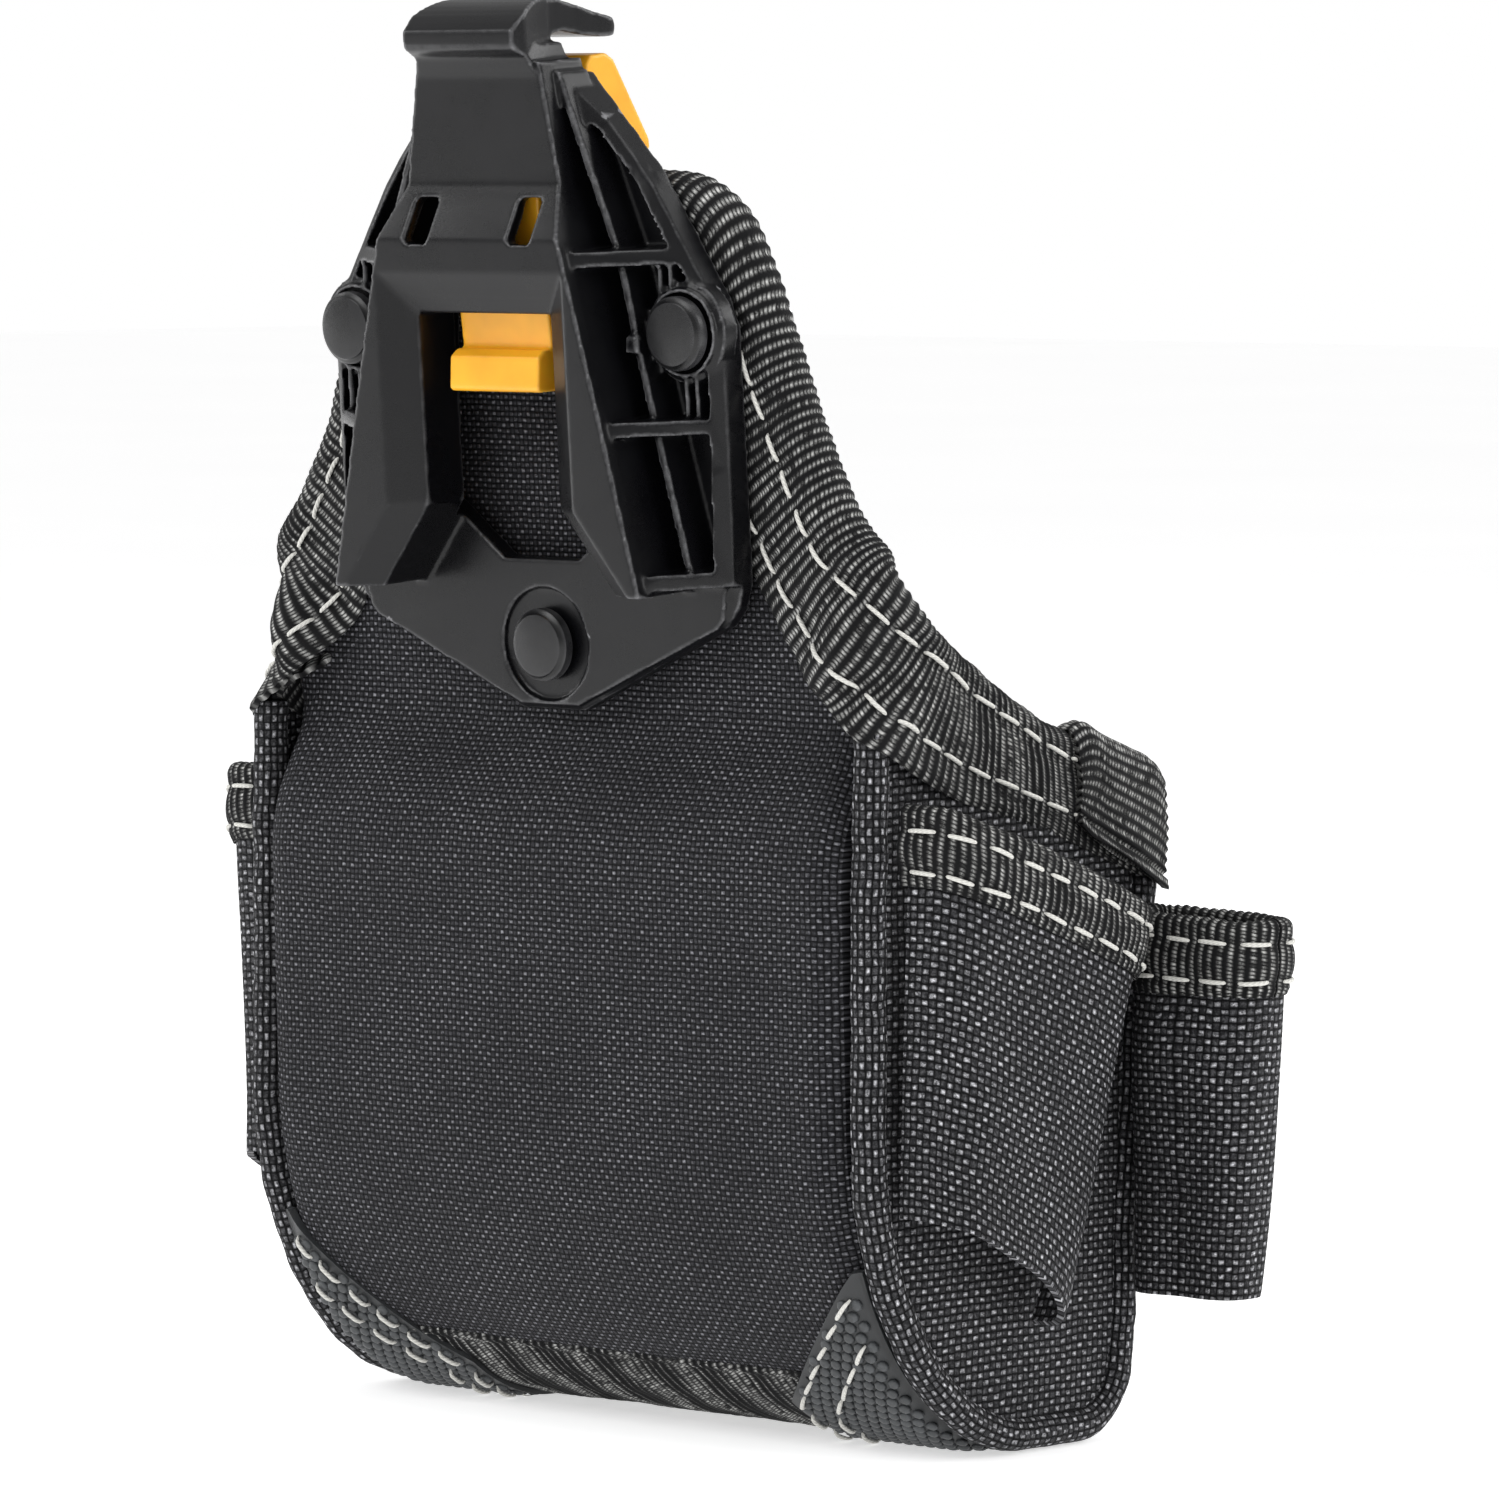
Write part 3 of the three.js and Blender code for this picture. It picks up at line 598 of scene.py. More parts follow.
def rubber_look(name):
    """Dusty rubber, paler on the tops of its dots."""
    k = Look(name)
    where = k.place()
    fine = k.noise(where, 2600.0, 3)
    dust = k.noise(where, 140.0, 3).mapped(0.35, 0.7, 0.0, 1.0)
    top = k.edge().mapped(0.49, 0.56, 0.0, 1.0)
    body = k.mix(top * dust.mapped(0, 1, 0.45, 1.0), (0.012, 0.013, 0.014), (0.075, 0.08, 0.085))
    return k.done(body, dust.mapped(0.0, 1.0, 0.42, 0.6), k.bump(fine, 0.06, 0.6), Specular_IOR_Level=0.5)


def steel_look(name, colour, rough):
    """Brushed steel."""
    k = Look(name)
    brushed = k.noise(k.place(), 900.0, 4, 0.7)
    body = k.mix(brushed, shade(colour, 0.75), colour)
    gloss = brushed.mapped(0.3, 0.7, rough - 0.08, rough + 0.1)
    return k.done(body, gloss, k.bump(brushed, 0.02, 0.4), Metallic=1.0)


BACK_CLOTH = weave_look("back_cloth", 1.05, 1.0, (0.020, 0.020, 0.0235), (0.34, 0.34, 0.37), 0.42)
BALLISTIC = weave_look("ballistic_cloth", 1.5, 1.35, (0.0135, 0.0135, 0.0155), (0.78, 0.78, 0.82), 0.34)
LINING = weave_look("lining_cloth", 0.7, 0.7, (0.022, 0.022, 0.024), (0.06, 0.06, 0.065), 0.5)
WEBBING = webbing_look("ribbed_webbing", (0.0055, 0.0055, 0.006), (0.62, 0.62, 0.60), 1.95, 0.72)
THREAD = thread_look("off_white_thread", (0.80, 0.79, 0.74))
RUBBER = rubber_look("dotted_rubber")
NYLON = moulded_look("clip_nylon", (0.0025, 0.0025, 0.0032), (0.25, 0.25, 0.26), 0.29, 5200.0, 0.035,
                     edge_highlight_and_wear_amount=0.85, Specular_IOR_Level=0.31)
AMBER = moulded_look("amber_plastic", (0.78, 0.36, 0.015), (0.92, 0.56, 0.10), 0.33, 4200.0, 0.02, edge_highlight_and_wear_amount=0.6,
                     Subsurface_Weight=0.12, Subsurface_Scale=0.002)
CAP = moulded_look("rivet_black", (0.005, 0.005, 0.0055), (0.09, 0.09, 0.095), 0.3, 5200.0, 0.03, edge_highlight_and_wear_amount=0.7,
                   Specular_IOR_Level=0.4)
SHEET_PLASTIC = moulded_look("sheet_plastic", (0.02, 0.02, 0.022), (0.08, 0.08, 0.08), 0.5, 2400.0, 0.05)
BLACK_STEEL = steel_look("black_steel", (0.05, 0.05, 0.052), 0.42)
BRIGHT_STEEL = steel_look("bright_steel", (0.55, 0.55, 0.56), 0.3)


# Shapes that the pieces share ---------------------------------------------------------------------

SEAM_X = 73.0
PIPING_R = 3.3
WRAP_HALF = 69.3
BACK_FACE = -3.0
GUSSET_TOP_Z = 129


def lean_yz(y, z):
    return tuple(lean([0, y, z])[1:])


# The side seam and the wrapped panel, both as (y, z) from the top of the back to the top of the front.
SEAM = route((-15.4, 143), (-16.2, 60), (-16.0, 30, 2, 3.4, 26, 3.4), (38, 3.4),
             (47, 3.4, 51, 9, 51.6, 22), (53, 70, 59.2, 116))
S_BEND = lean_yz(BACK_FACE, 116) + lean_yz(-14.8, 114) + lean_yz(-14.8, 94)
WRAP = route(lean_yz(BACK_FACE, 217.5), lean_yz(BACK_FACE, 128), S_BEND, (-20.6, 60),
             (-19.6, 28, 0, 0.9, 26, 0.9), (38, 0.9), (49, 0.9, 54, 8, 54.5, 22), (56, 70, 62, 117), steps=60)
WRAP_S = lengths(WRAP)
WRAP_LOWEST = int(np.argmin(WRAP[:, 1]))
WRAP_OUT = sides(WRAP) * (1 if sides(WRAP)[5, 0] < 0 else -1)
# The upright back's outline, as (x, z), and the gusset's top edge, as (y, z).
OUTLINE = route((0, 219.5), (25, 219.5), (38, 219.5, 44.5, 214, 48, 204), (56, 182),
                (59.5, 171, 65, 160, 75, 149))
GUSSET_TOP = route((-20.5, 165), (-8, 151, 8, 139, 30, 128.5), (57.5, 120.5))


def wrap_where(z, front=False):
    """The distance down the wrap at which it is at height z, on its back or its front."""
    if front:
        part = slice(WRAP_LOWEST + 40, None)
        return np.interp(z, WRAP[part, 1], WRAP_S[part])
    return np.interp(-z, -WRAP[: WRAP_LOWEST + 1, 1], WRAP_S[: WRAP_LOWEST + 1])


def on_wrap(x, s, lift=0.0):
    """Points on the wrapped panel at x and distance s, and the outward normals there."""
    x, s, lift = np.broadcast_arrays(np.asarray(x, float), s, lift)
    y, z, ny, nz = (np.interp(s, WRAP_S, column) for column in (*WRAP.T, *WRAP_OUT.T))
    n = unit(np.stack([0 * s, ny, nz], axis=-1))
    return np.stack([x, y, z], axis=-1) + n * lift[..., None], n


def outline_x(z):
    """Half the back's width at height z."""
    return np.interp(-upright(z), -OUTLINE[:, 1], OUTLINE[:, 0])


def crossed(a, b):
    """Two grids, with rows for a and columns for b."""
    return np.meshgrid(a, b, indexing="ij")


# Webbing ------------------------------------------------------------------------------------------

RIB_PITCH = 1.95
RIB_HEIGHT = 0.17
EDGING_ROWS = (4.2, 11.2)
HEM_DIP = 0.55
ROW_DIP = 0.22


def ribbed(p, uv, pitch, height, seed=1):
    """Raises the ribs of a webbing grid; u in the uv runs along the webbing."""
    u = uv[..., 0] + 0.35 * wave_noise(uv[..., 0], uv[..., 1], seed, 14.0)
    rise = height * np.cos(FULL_TURN * u / pitch) + 0.18 * wave_noise(uv[..., 0], uv[..., 1], seed + 7, 9.0)
    return p + grid_normals(p) * rise[..., None]


def folded(name, outer, inner, into, thick, hides, rows, seed, flats=(26, 14), bulge=None):
    """Webbing folded over a cloth edge. Returns the lines for its stitches.

    outer is the line of the fold, inner the webbing's edge on the outside face, and into the direction
    through the cloth. rows are distances in from the fold at which stitches run on the outside face.
    bulge swells the outside face where the webbing rounds a corner.
    """
    across = unit(outer - inner)
    width = np.linalg.norm(outer - inner, axis=1)
    thick = np.broadcast_to(np.asarray(thick, float), len(outer))
    r = thick / 2
    section = []
    for t in np.linspace(0, 1, flats[0]):
        a = t * (width - r)
        between = (width - a - rows[0]) / (rows[1] - rows[0])
        height = HEM_DIP * (1 - ease(a / 1.4)) - 0.45 * np.sin(math.pi * np.clip(between, 0, 1))
        for row in rows:
            height = height + ROW_DIP * np.exp(-(((width - a - row) / 0.9) ** 2))
        if bulge is not None:
            height = height - bulge * math.sin(math.pi * min(t * 0.92 + 0.16, 1.0))
        section.append((a, height))
    for t in np.linspace(0, math.pi, 12)[1:-1]:
        section.append((width - r + r * math.sin(t), r - r * math.cos(t)))
    for t in np.linspace(1, 0.16, flats[1]):
        section.append((t * (width - r), thick))
    a, b = (np.stack(part, axis=1) for part in zip(*section))
    p = inner[:, None] + across[:, None] * a[..., None] + into[:, None] * b[..., None]
    girth = np.hypot(np.diff(a.mean(0)), np.diff(b.mean(0)))
    v = np.concatenate([[0.0], np.cumsum(girth)])[None]
    uv = np.stack([lengths((outer + inner) / 2)[:, None] + 0 * a, v + 0 * a], axis=-1)
    lead = np.zeros_like(p)
    lead[:, : flats[0]] = -into[:, None]
    p, uv = facing(p, uv, lead)
    p = ribbed(p, uv, RIB_PITCH, RIB_HEIGHT, seed)
    piece = finish_piece(name, shell(p, uv, 1.1), WEBBING, hides=hides)
    run, girth = np.ptp(uv[..., 0]) * MM, np.ptp(uv[..., 1]) * MM
    n = grid_normals(p)
    lines = []
    for row in rows:
        column = np.clip((width.mean() - row) / (width.mean() - r.mean()), 0, 1) * (flats[0] - 1)
        k = min(int(column), flats[0] - 2)
        w = column - k
        lines.append([smooth(q[:, k] * (1 - w) + q[:, k + 1] * w, 6) for q in (p, n)])
    return lines


# Padded back --------------------------------------------------------------------------------------

SIMULATION = dict(quality=6, mass=0.35, tension_stiffness=40, compression_stiffness=25, shear_stiffness=8,
                  bending_stiffness=2.5, vertex_group_mass="held", pin_stiffness=4, use_pressure=True,
                  uniform_pressure_force=5)
SIMULATED_FRAMES = 14
MOST_PUFF = 0.0026


def back_pad():
    s = np.linspace(0.6, wrap_where(14.4), 190)
    z = np.interp(s, WRAP_S, WRAP[:, 1])
    half = np.minimum(outline_x(z) - 2.2, WRAP_HALF)
    xs = np.linspace(-1, 1, 121)[None] * half[:, None]
    ss = s[:, None] + 0 * xs
    belly = ease((132 - z) / 22) * ease((z - 8) / 16)
    low = ease((138 - z) / 14)
    edge = np.clip((np.abs(xs) - (half[:, None] - 7)) / 7, 0, 1)
    lift = 1.6 * belly[:, None] * (1 - (xs / half[:, None]) ** 2) - 2.9 * low[:, None] * edge**2.4
    outer, n = on_wrap(xs, ss, lift)
    flat_y = 1.2 * math.cos(LEAN) - (z - FOOT_LIFT) * math.sin(LEAN)
    inner = outer.copy()
    inner[..., 0] *= 0.985
    inner[..., 1] = np.maximum(outer[..., 1] + 1.2, flat_y[:, None])
    bottom = ease((34 - z) / 16)[:, None, None]
    inner = inner * (1 - bottom) + (outer - n * 2.0) * bottom
    uv = np.stack([xs, ss], axis=-1)
    if np.sum(grid_normals(outer) * n) < 0:
        outer, inner, uv, half, z = (part[::-1] for part in (outer, inner, uv, half, z))
    through = outer - inner
    mesh = shell(outer, uv, np.linalg.norm(through, axis=-1), normals=unit(through))
    piece = finish_piece("back_pad", mesh, BACK_CLOTH, hides=("back_panel", "back_foam"))
    inflate(piece, outer, z, half)
    rounding = piece.modifiers.new("rounding", "SUBSURF")
    rounding.levels = rounding.render_levels = 1


def points_of(mesh):
    flat = np.empty(len(mesh.vertices) * 3)
    mesh.vertices.foreach_get("co", flat)
    return flat.reshape(-1, 3)


def move_points(mesh, points):
    mesh.vertices.foreach_set("co", points.ravel())
    mesh.update()


def inflate(piece, outer, z, half):
    """Puffs the lower pad up by cloth simulation. Its back, edges and the part under the clip stay put."""
    rest = points_of(piece.data)
    share = np.abs(outer[..., 0]) / half[:, None]
    free = ease((1 - share) / 0.10) * ease((118 - z) / 12)[:, None] * ease((z - 20) / 10)[:, None]
    drawn = place(outer).reshape(-1, 3)
    free_at = {tuple(np.round(p, 7)): f for p, f in zip(drawn, free.ravel())}
    free = np.array([free_at.get(tuple(np.round(p, 7)), 0.0) for p in rest])
    held = piece.vertex_groups.new(name="held")
    for i, f in enumerate(free):
        held.add([i], float(1 - f), "REPLACE")
    cloth = piece.modifiers.new("puff", "CLOTH")
    for name, value in SIMULATION.items():
        setattr(cloth.settings, name, value)
    cloth.settings.effector_weights.gravity = 0
    cloth.collision_settings.use_collision = False
    cloth.point_cache.frame_start, cloth.point_cache.frame_end = 1, SIMULATED_FRAMES
    scene = bpy.context.scene
    for f in range(1, SIMULATED_FRAMES + 1):
        scene.frame_set(f)
    moved = points_of(piece.evaluated_get(bpy.context.evaluated_depsgraph_get()).to_mesh())
    piece.modifiers.remove(cloth)
    scene.frame_set(1)
    step = moved - rest
    size = np.linalg.norm(step, axis=1, keepdims=True)
    step = step / (size + 1e-12) * MOST_PUFF * (1 - np.exp(-size / MOST_PUFF))
    step[free <= 0.02] = 0
    move_points(piece.data, rest + step)


back_pad()


# Top and side binding -----------------------------------------------------------------------------


def binding_lines():
    """The fold and the edge of the long binding's right half, from the middle of the back to the front."""
    upper = at(OUTLINE, np.linspace(0, 108, 60))
    fold = lean(np.stack([upper[:, 0], 0 * upper[:, 0] - 4.6, upper[:, 1] + 1.2], axis=1))
    side = GUSSET_TOP[GUSSET_TOP[:, 0] > -4]
    side = np.stack([0 * side[:, 0] + 75.9, side[:, 0], side[:, 1] + 0.6], axis=1)
    turn = [[67.5, -18.2, 164.5], [73.2, -16.2, 159.6], [75.8, -10.4, 154.2]]
    fold = spline(np.vstack([fold[fold[:, 0] < 62][::6], turn, side[::7], side[-1:]]), 620)
    below = route((0, 197.5), (8, 197.5), (18, 197.5, 25, 193, 28.5, 184), (33, 170, 39, 162, 46, 149.5),
                  (49, 144, 52, 139.5, 55, 135.5))
    edge = lean(np.stack([below[:, 0], 0 * below[:, 0] - 4.4, below[:, 1]], axis=1))
    corner = [(63.5, -17.6, 134.6), (70.0, -20.0, 130.6), (75.2, -19.6, 127.8), (77.6, -14.4, 125.0),
              (77.0, -6.0, 120.8)]
    low = [(76.0, 5.3, 116.4), (75.9, 18, 113), (75.9, 32, 108.8), (75.9, 45, 104), (75.9, 57.5, 99.5)]
    edge = spline(np.vstack([edge[::10], corner, low]), 620)
    return smooth(fold, 60), smooth(edge, 44)


def match_rows(fold, edge, count):
    """Pairs up points of the two lines so that the rows between them cross the webbing squarely."""
    f, e = even(fold, 400), even(edge, 400)
    along_f, along_e = lengths(f), lengths(e)
    nearest = [0]
    for point in f[1:]:
        start = nearest[-1]
        nearest.append(start + int(np.argmin(np.linalg.norm(e[start : start + 60] - point, axis=1))))
    paired = smooth(along_e[nearest][:, None], 220)[:, 0]
    paired = np.maximum.accumulate(paired)
    paired = paired / paired[-1] * along_e[-1]
    mid = (along_f + paired) / 2
    where = np.linspace(0, mid[-1], count)
    return at(f, np.interp(where, mid, along_f)), at(e, np.interp(where, mid, paired))


def top_binding():
    fold, edge = match_rows(*binding_lines(), 520)
    turn = smooth(ease((fold[:, :1] * 0.5 + edge[:, :1] * 0.5 - 62) / 14), 30)
    into = unit(THROUGH_BACK * (1 - turn) + np.array([-1.0, 0.0, 0.0]) * turn)
    across = unit(fold - edge)
    into = unit(smooth(into, 40))
    into = unit(into - across * np.sum(into * across, axis=1, keepdims=True))
    turn = turn[:, 0]
    thick = 10.6 * (1 - turn) + 6.0 * turn
    bulge = 4.4 * (4 * turn * (1 - turn)) ** 1.5
    fold, edge, into = (np.concatenate([mirrored(q)[::-1], q[1:]]) for q in (fold, edge, into))
    thick, bulge = (np.concatenate([q[::-1], q[1:]]) for q in (thick, bulge))
    hides = ("top_binding", "gusset_binding_left", "gusset_binding_right")
    return folded("edge_binding", fold, edge, into, thick, hides, (6.5, 18.5), 3, bulge=bulge)


sew("edge_binding_stitching", top_binding(), 11)


# Gussets and piping -------------------------------------------------------------------------------


def seam_below_binding(line):
    return line[~((line[:, 1] > GUSSET_TOP_Z) & (line[:, 0] < 0))]


def gusset_grid(rows=110, cols=60):
    """The gusset flat, as (y, z), with rows from its top to its bottom."""
    left = np.vstack([[(-15.0, 130.0)], seam_below_binding(SEAM)])
    bottom = int(np.argmin(np.abs(left[:, 0] - 24) + np.abs(left[:, 1] - 3.4)))
    right = left[bottom:][::-1]
    left = left[: bottom + 1]
    t = np.linspace(0, 1, rows)
    a, b = at(left, t * lengths(left)[-1]), at(right, t * lengths(right)[-1])
    u = np.linspace(0, 1, cols)[None, :, None]
    p = a[:, None] * (1 - u) + b[:, None] * u
    top = spline([(-15.0, 130.0), (-9, 130), (-1, 127.5), (6, 124), (18, 120), (32, 116), (57.5, 113)], 200)
    return p + (1 - ease(t / 0.35))[:, None, None] * (even(top, cols) - p[0])[None] * 0.99


def gusset(sign, tag):
    y, z = np.moveaxis(gusset_grid(), -1, 0)
    rows, cols = y.shape
    u = np.linspace(0, 1, cols)[None] + 0 * y
    t = np.linspace(0, 1, rows)[:, None] + 0 * y
    room = np.clip(4 * u * (1 - u), 0, 1) ** 0.7 * np.clip((1 - t) * 3, 0, 1)
    bulge = 1.3 * room + 0.7 * room * wave_noise(y, z, 40 + sign, 46.0)
    tuck = -0.6 * (1 - np.clip(room * 4, 0, 1))
    grid = np.stack([sign * (SEAM_X + 0.8 + bulge + tuck), y, z], axis=-1), np.stack([y, z], axis=-1)
    name = "gusset_" + tag
    cloth_piece(name + "_cloth", grid, (sign, 0, 0), 1.8, BALLISTIC, (name,))


def piping(sign, tag, around=20):
    line = seam_below_binding(even(SEAM, 460))
    s = lengths(line)
    wander = 0.16 * np.sin(s * 0.11 + sign) + 0.1 * np.sin(s * 0.37)
    path = np.stack([sign * (SEAM_X + wander), line[:, 0], line[:, 1]], axis=1)
    outward = np.zeros_like(path) + (sign, 0, 0)
    grid = tube_grid(path, PIPING_R - 0.15, around, outward)
    turn = np.linspace(0, FULL_TURN, around + 1)[None]
    fold = 0.16 * wave_noise(s[:, None], turn * PIPING_R, 60 + sign, 7.0)
    centre = path[:, None]
    grid = centre + (grid - centre) * (1 + fold / PIPING_R)[..., None]
    mesh = tubes_mesh([grid], FULL_TURN * PIPING_R)
    finish_piece("piping_" + tag + "_cloth", mesh, BALLISTIC, hides=("piping_" + tag,))


for side in BOTH_SIDES:
    gusset(*side)
    piping(*side)


# Tool loops ---------------------------------------------------------------------------------------

LOOP_BINDING = 14.0
SIDE_LOOP_TALL = 71.5
FRONT_LOOP_TALL = 68.0
CLOTH_TOP = 0.985


def rounded(wave, power):
    """A sine or cosine bent towards a flatter or fuller oval."""
    return np.sign(wave) * np.abs(wave) ** power


def loop_edging(name, hides, points, thick, outward, seed, count, rounds):
    """The webbing round a loop's mouth. points are its top and lower lines; outward looks off the loop."""
    top, low = points
    middle = (top + low) / 2
    where = np.linspace(0, lengths(middle)[-1], count)
    top, low = (smooth(at(middle, where, line), rounds) for line in (top, low))
    into = unit(np.cross(unit(np.gradient(top, axis=0)), top - low))
    if np.sum(into * outward(top)) > 0:
        into = -into
    return folded(name, top, low, into, thick, (hides,), EDGING_ROWS, seed, flats=(20, 12))


def side_loop_points(a, t, sign, lift=0.0):
    """The side loop's outer face: a runs round it from back to front, t up it."""
    back, front = -12.5 + 0 * t, 23.5 + 19.5 * t**0.75
    mid, half = (back + front) / 2, (front - back) / 2
    sine, cosine = np.sin(a), np.cos(a)
    fold = 0.55 * wave_noise(a * 18, t * 70, 80 + sign, 24.0) * sine
    crease = 1.0 * np.exp(-(((a - 0.62) / 0.22) ** 2)) * ease((0.75 - t) / 0.5)
    flare = 1.4 * ease((0.16 - t) / 0.16) * sine
    bulge = 13.6 + 3.9 * t + fold + flare - crease
    x = 75.4 + bulge * np.maximum(sine, 1e-6) ** (0.52 - 0.15 * t) + lift * sine**0.3
    y = mid - rounded(cosine, 0.8) * (half + lift * 0.9)
    sag = (3.0 * ease((a - 0.9) / 1.2) + 5.5 * ease((a - 1.7) / 1.2)) * (1 - t) ** 3
    z = 40.5 + SIDE_LOOP_TALL * t - 0.37 * y - sag
    return np.stack([sign * x, y, z], axis=-1)


def side_loop(sign, tag):
    a, t = crossed(np.linspace(0.02, math.pi - 0.02, 96), np.linspace(0, CLOTH_TOP, 90))
    p = side_loop_points(a, t, sign)
    grid = p, np.stack([lengths(p[:, 60])[:, None] + 0 * t, t * SIDE_LOOP_TALL], axis=-1)
    name = "side_loop_" + tag
    cloth_piece(name + "_cloth", grid, (sign, 0, 0), 1.3, BALLISTIC, (name,))
    a = np.clip(np.linspace(0, math.pi, 230), 0.005, math.pi - 0.005)
    lines = [side_loop_points(a, t + 0 * a, sign, 1.0) for t in (1.0, 1.0 - LOOP_BINDING / SIDE_LOOP_TALL)]
    return loop_edging(name + "_edging", "side_loop_binding_" + tag, lines, 3.3, lambda top: (sign, 0, 0),
                       20 + sign, 230, 3)


def front_loop_points(a, t, sign, lift=0.0):
    """The front loop's outer face: a flattened tube beside the front corner, a round it and t up it."""
    far = 101.0 + 5.6 * t**0.8
    near = 76.6 + 0.6 * (1 - t)
    belly = 1 + 0.16 * np.sin(math.pi * np.clip(t, 0, 1)) - 0.10 * (1 - t)
    cosine, sine = np.cos(a), np.sin(a)
    x = (far + near) / 2 + ((far - near) / 2 + lift) * rounded(cosine, 0.62)
    crease = 0.9 * wave_noise(x, t * 68, 90 + sign, 30.0) * np.abs(sine) ** 0.5
    dent = 1.3 * np.exp(-(((x - 89 - 9 * t) / 5.0) ** 2)) * ease((0.62 - t) / 0.4)
    y = 54.6 + (7.6 * belly + lift + crease - dent) * rounded(sine, 0.72)
    lip = 1.6 * ease((t - 0.86) / 0.14) * (0.35 - 0.65 * (x - near) / (far - near))
    z = 26.8 + FRONT_LOOP_TALL * t + lip
    return np.stack([sign * x, y, z], axis=-1)


def front_loop(sign, tag):
    a = np.linspace(0, FULL_TURN, 129)
    t = np.linspace(0, CLOTH_TOP, 84)
    s = lengths(front_loop_points(*crossed(a, t), sign)[:, 50])
    where = np.linspace(0, s[-1], len(a))
    aa, tt = crossed(np.interp(where, s, a), t)
    p = front_loop_points(aa, tt, sign)
    grid = p, np.stack([where[:, None] + 0 * tt, tt * FRONT_LOOP_TALL], axis=-1)
    name = "front_loop_" + tag
    cloth_piece(name + "_cloth", grid, p - p.mean(axis=0, keepdims=True), 1.3, BALLISTIC, (name,),
                closed=True)
    a = np.linspace(0, FULL_TURN, 1200)
    lines = [front_loop_points(a, t + 0 * a, sign, 0.9) for t in (1.0, 1.0 - LOOP_BINDING / FRONT_LOOP_TALL)]
    return loop_edging(name + "_edging", "front_loop_binding_" + tag, lines, 3.2,
                       lambda top: top - top.mean(axis=0), 30 + sign, 240, 0)


loop_rows = []
for side in BOTH_SIDES:
    loop_rows += side_loop(*side)
    loop_rows += front_loop(*side)
sew("loop_stitching", loop_rows, 12, trim=0.8)


# Corner tabs --------------------------------------------------------------------------------------

TAB_BACK = 35.5
TAB_INSIDE = 69.3


def corner_tab(sign, tag):
    """Webbing folded up and over the front corner, its ribs along the slope."""
    y = np.linspace(TAB_BACK, 59.4, 60)
    share = (y - TAB_BACK) / 23.9
    top = 129.0 - 0.33 * (y - 36) - 2.2 * np.clip((y - 55) / 5, 0, 1) ** 2
    top = top - 1.6 * np.clip((39 - y) / 3.5, 0, 1) ** 2 + 0.8 * np.exp(-(((y - 39.5) / 2.5) ** 2))
    foot = 110.0 - 0.50 * (y - TAB_BACK) + 1.2 * np.clip((38 - y) / 3, 0, 1)
    outside = 77.3 + 0.9 * np.sin(math.pi * share) ** 0.7
    r = 4.2
    rows = []
    levels = np.linspace(0, 1, 60)
    for g in levels:
        hem = 0.9 * np.exp(-(((g - 0.03) / 0.05) ** 2)) - 0.5 * np.exp(-(((g - 0.13) / 0.03) ** 2))
        rows.append((outside + hem + 0.5 * math.sin(math.pi * g), y, foot + g * (top - r - foot)))
    half = (outside - TAB_INSIDE) / 2
    for angle in np.linspace(0, math.pi, 26)[1:-1]:
        rows.append((TAB_INSIDE + half + half * math.cos(angle), y, top - r + r * math.sin(angle)))
    for g in levels[::-1][::3]:
        rows.append((TAB_INSIDE + 0 * y, y, foot + 4 + g * (top - r - foot - 4)))
    p = np.stack([np.stack(row, axis=-1) for row in rows]) * (sign, 1, 1)
    run, over = crossed(lengths(p[:, 30]), y - TAB_BACK)
    lead = np.zeros_like(p)
    lead[:40, :, 0] = sign
    p, uv = facing(p, np.stack([run, over], axis=-1), lead)
    p = ribbed(p, uv, 1.9, 0.22, 50 + sign)
    name = "corner_tab_" + tag
    piece = finish_piece(name + "_webbing", shell(p, uv, 1.4), WEBBING, hides=(name,))


for side in BOTH_SIDES:
    corner_tab(*side)


# Bottom: webbing strip and dotted patches ---------------------------------------------------------

PATCH_INNER = 39.0
PATCH_START = wrap_where(35.0)
PATCH_LOW = wrap_where(9.0)
UNDER = (WRAP_S > wrap_where(12)) & (WRAP_S < wrap_where(12, True))
PATCH_END = np.interp(40.0, WRAP[UNDER, 0], WRAP_S[UNDER])
DOT_PITCH = 2.55
DOT_R = 1.12
DOT_LEVELS = ((1.08, -0.25), (1.0, 0.32), (0.78, 0.62), (0.38, 0.74))
DOT_TIP = 0.78
DOT_SIDES = 8


def bottom_strip():
    s = np.linspace(wrap_where(15.2), wrap_where(13.2, True), 90)
    xx, ss = crossed(np.linspace(-WRAP_HALF, WRAP_HALF, 430), s)
    edge = np.clip((np.abs(xx) - 64) / 5.3, 0, 1)
    lip = 0.9 * np.exp(-(((ss - s[0] - 1.0) / 1.1) ** 2))
    p, n = on_wrap(xx, ss, 0.1 + lip - 2.2 * edge**2)
    p, uv = facing(p, np.stack([xx, ss - s[0]], axis=-1), n)
    p = ribbed(p, uv, 2.3, 0.2, 66)
    piece = finish_piece("bottom_strip", shell(p, uv, 1.2), WEBBING, hides=("bottom_webbing",))


def patch_edge(s):
    """x of the patch's inner edge at distance s down the wrap."""
    return np.interp(s, [PATCH_START, PATCH_LOW, PATCH_END], [WRAP_HALF - 0.5, PATCH_INNER, PATCH_INNER])


def patch_lift(x):
    return 1.0 - 2.0 * np.clip((np.abs(x) - 64.5) / 5.5, 0, 1) ** 2.2


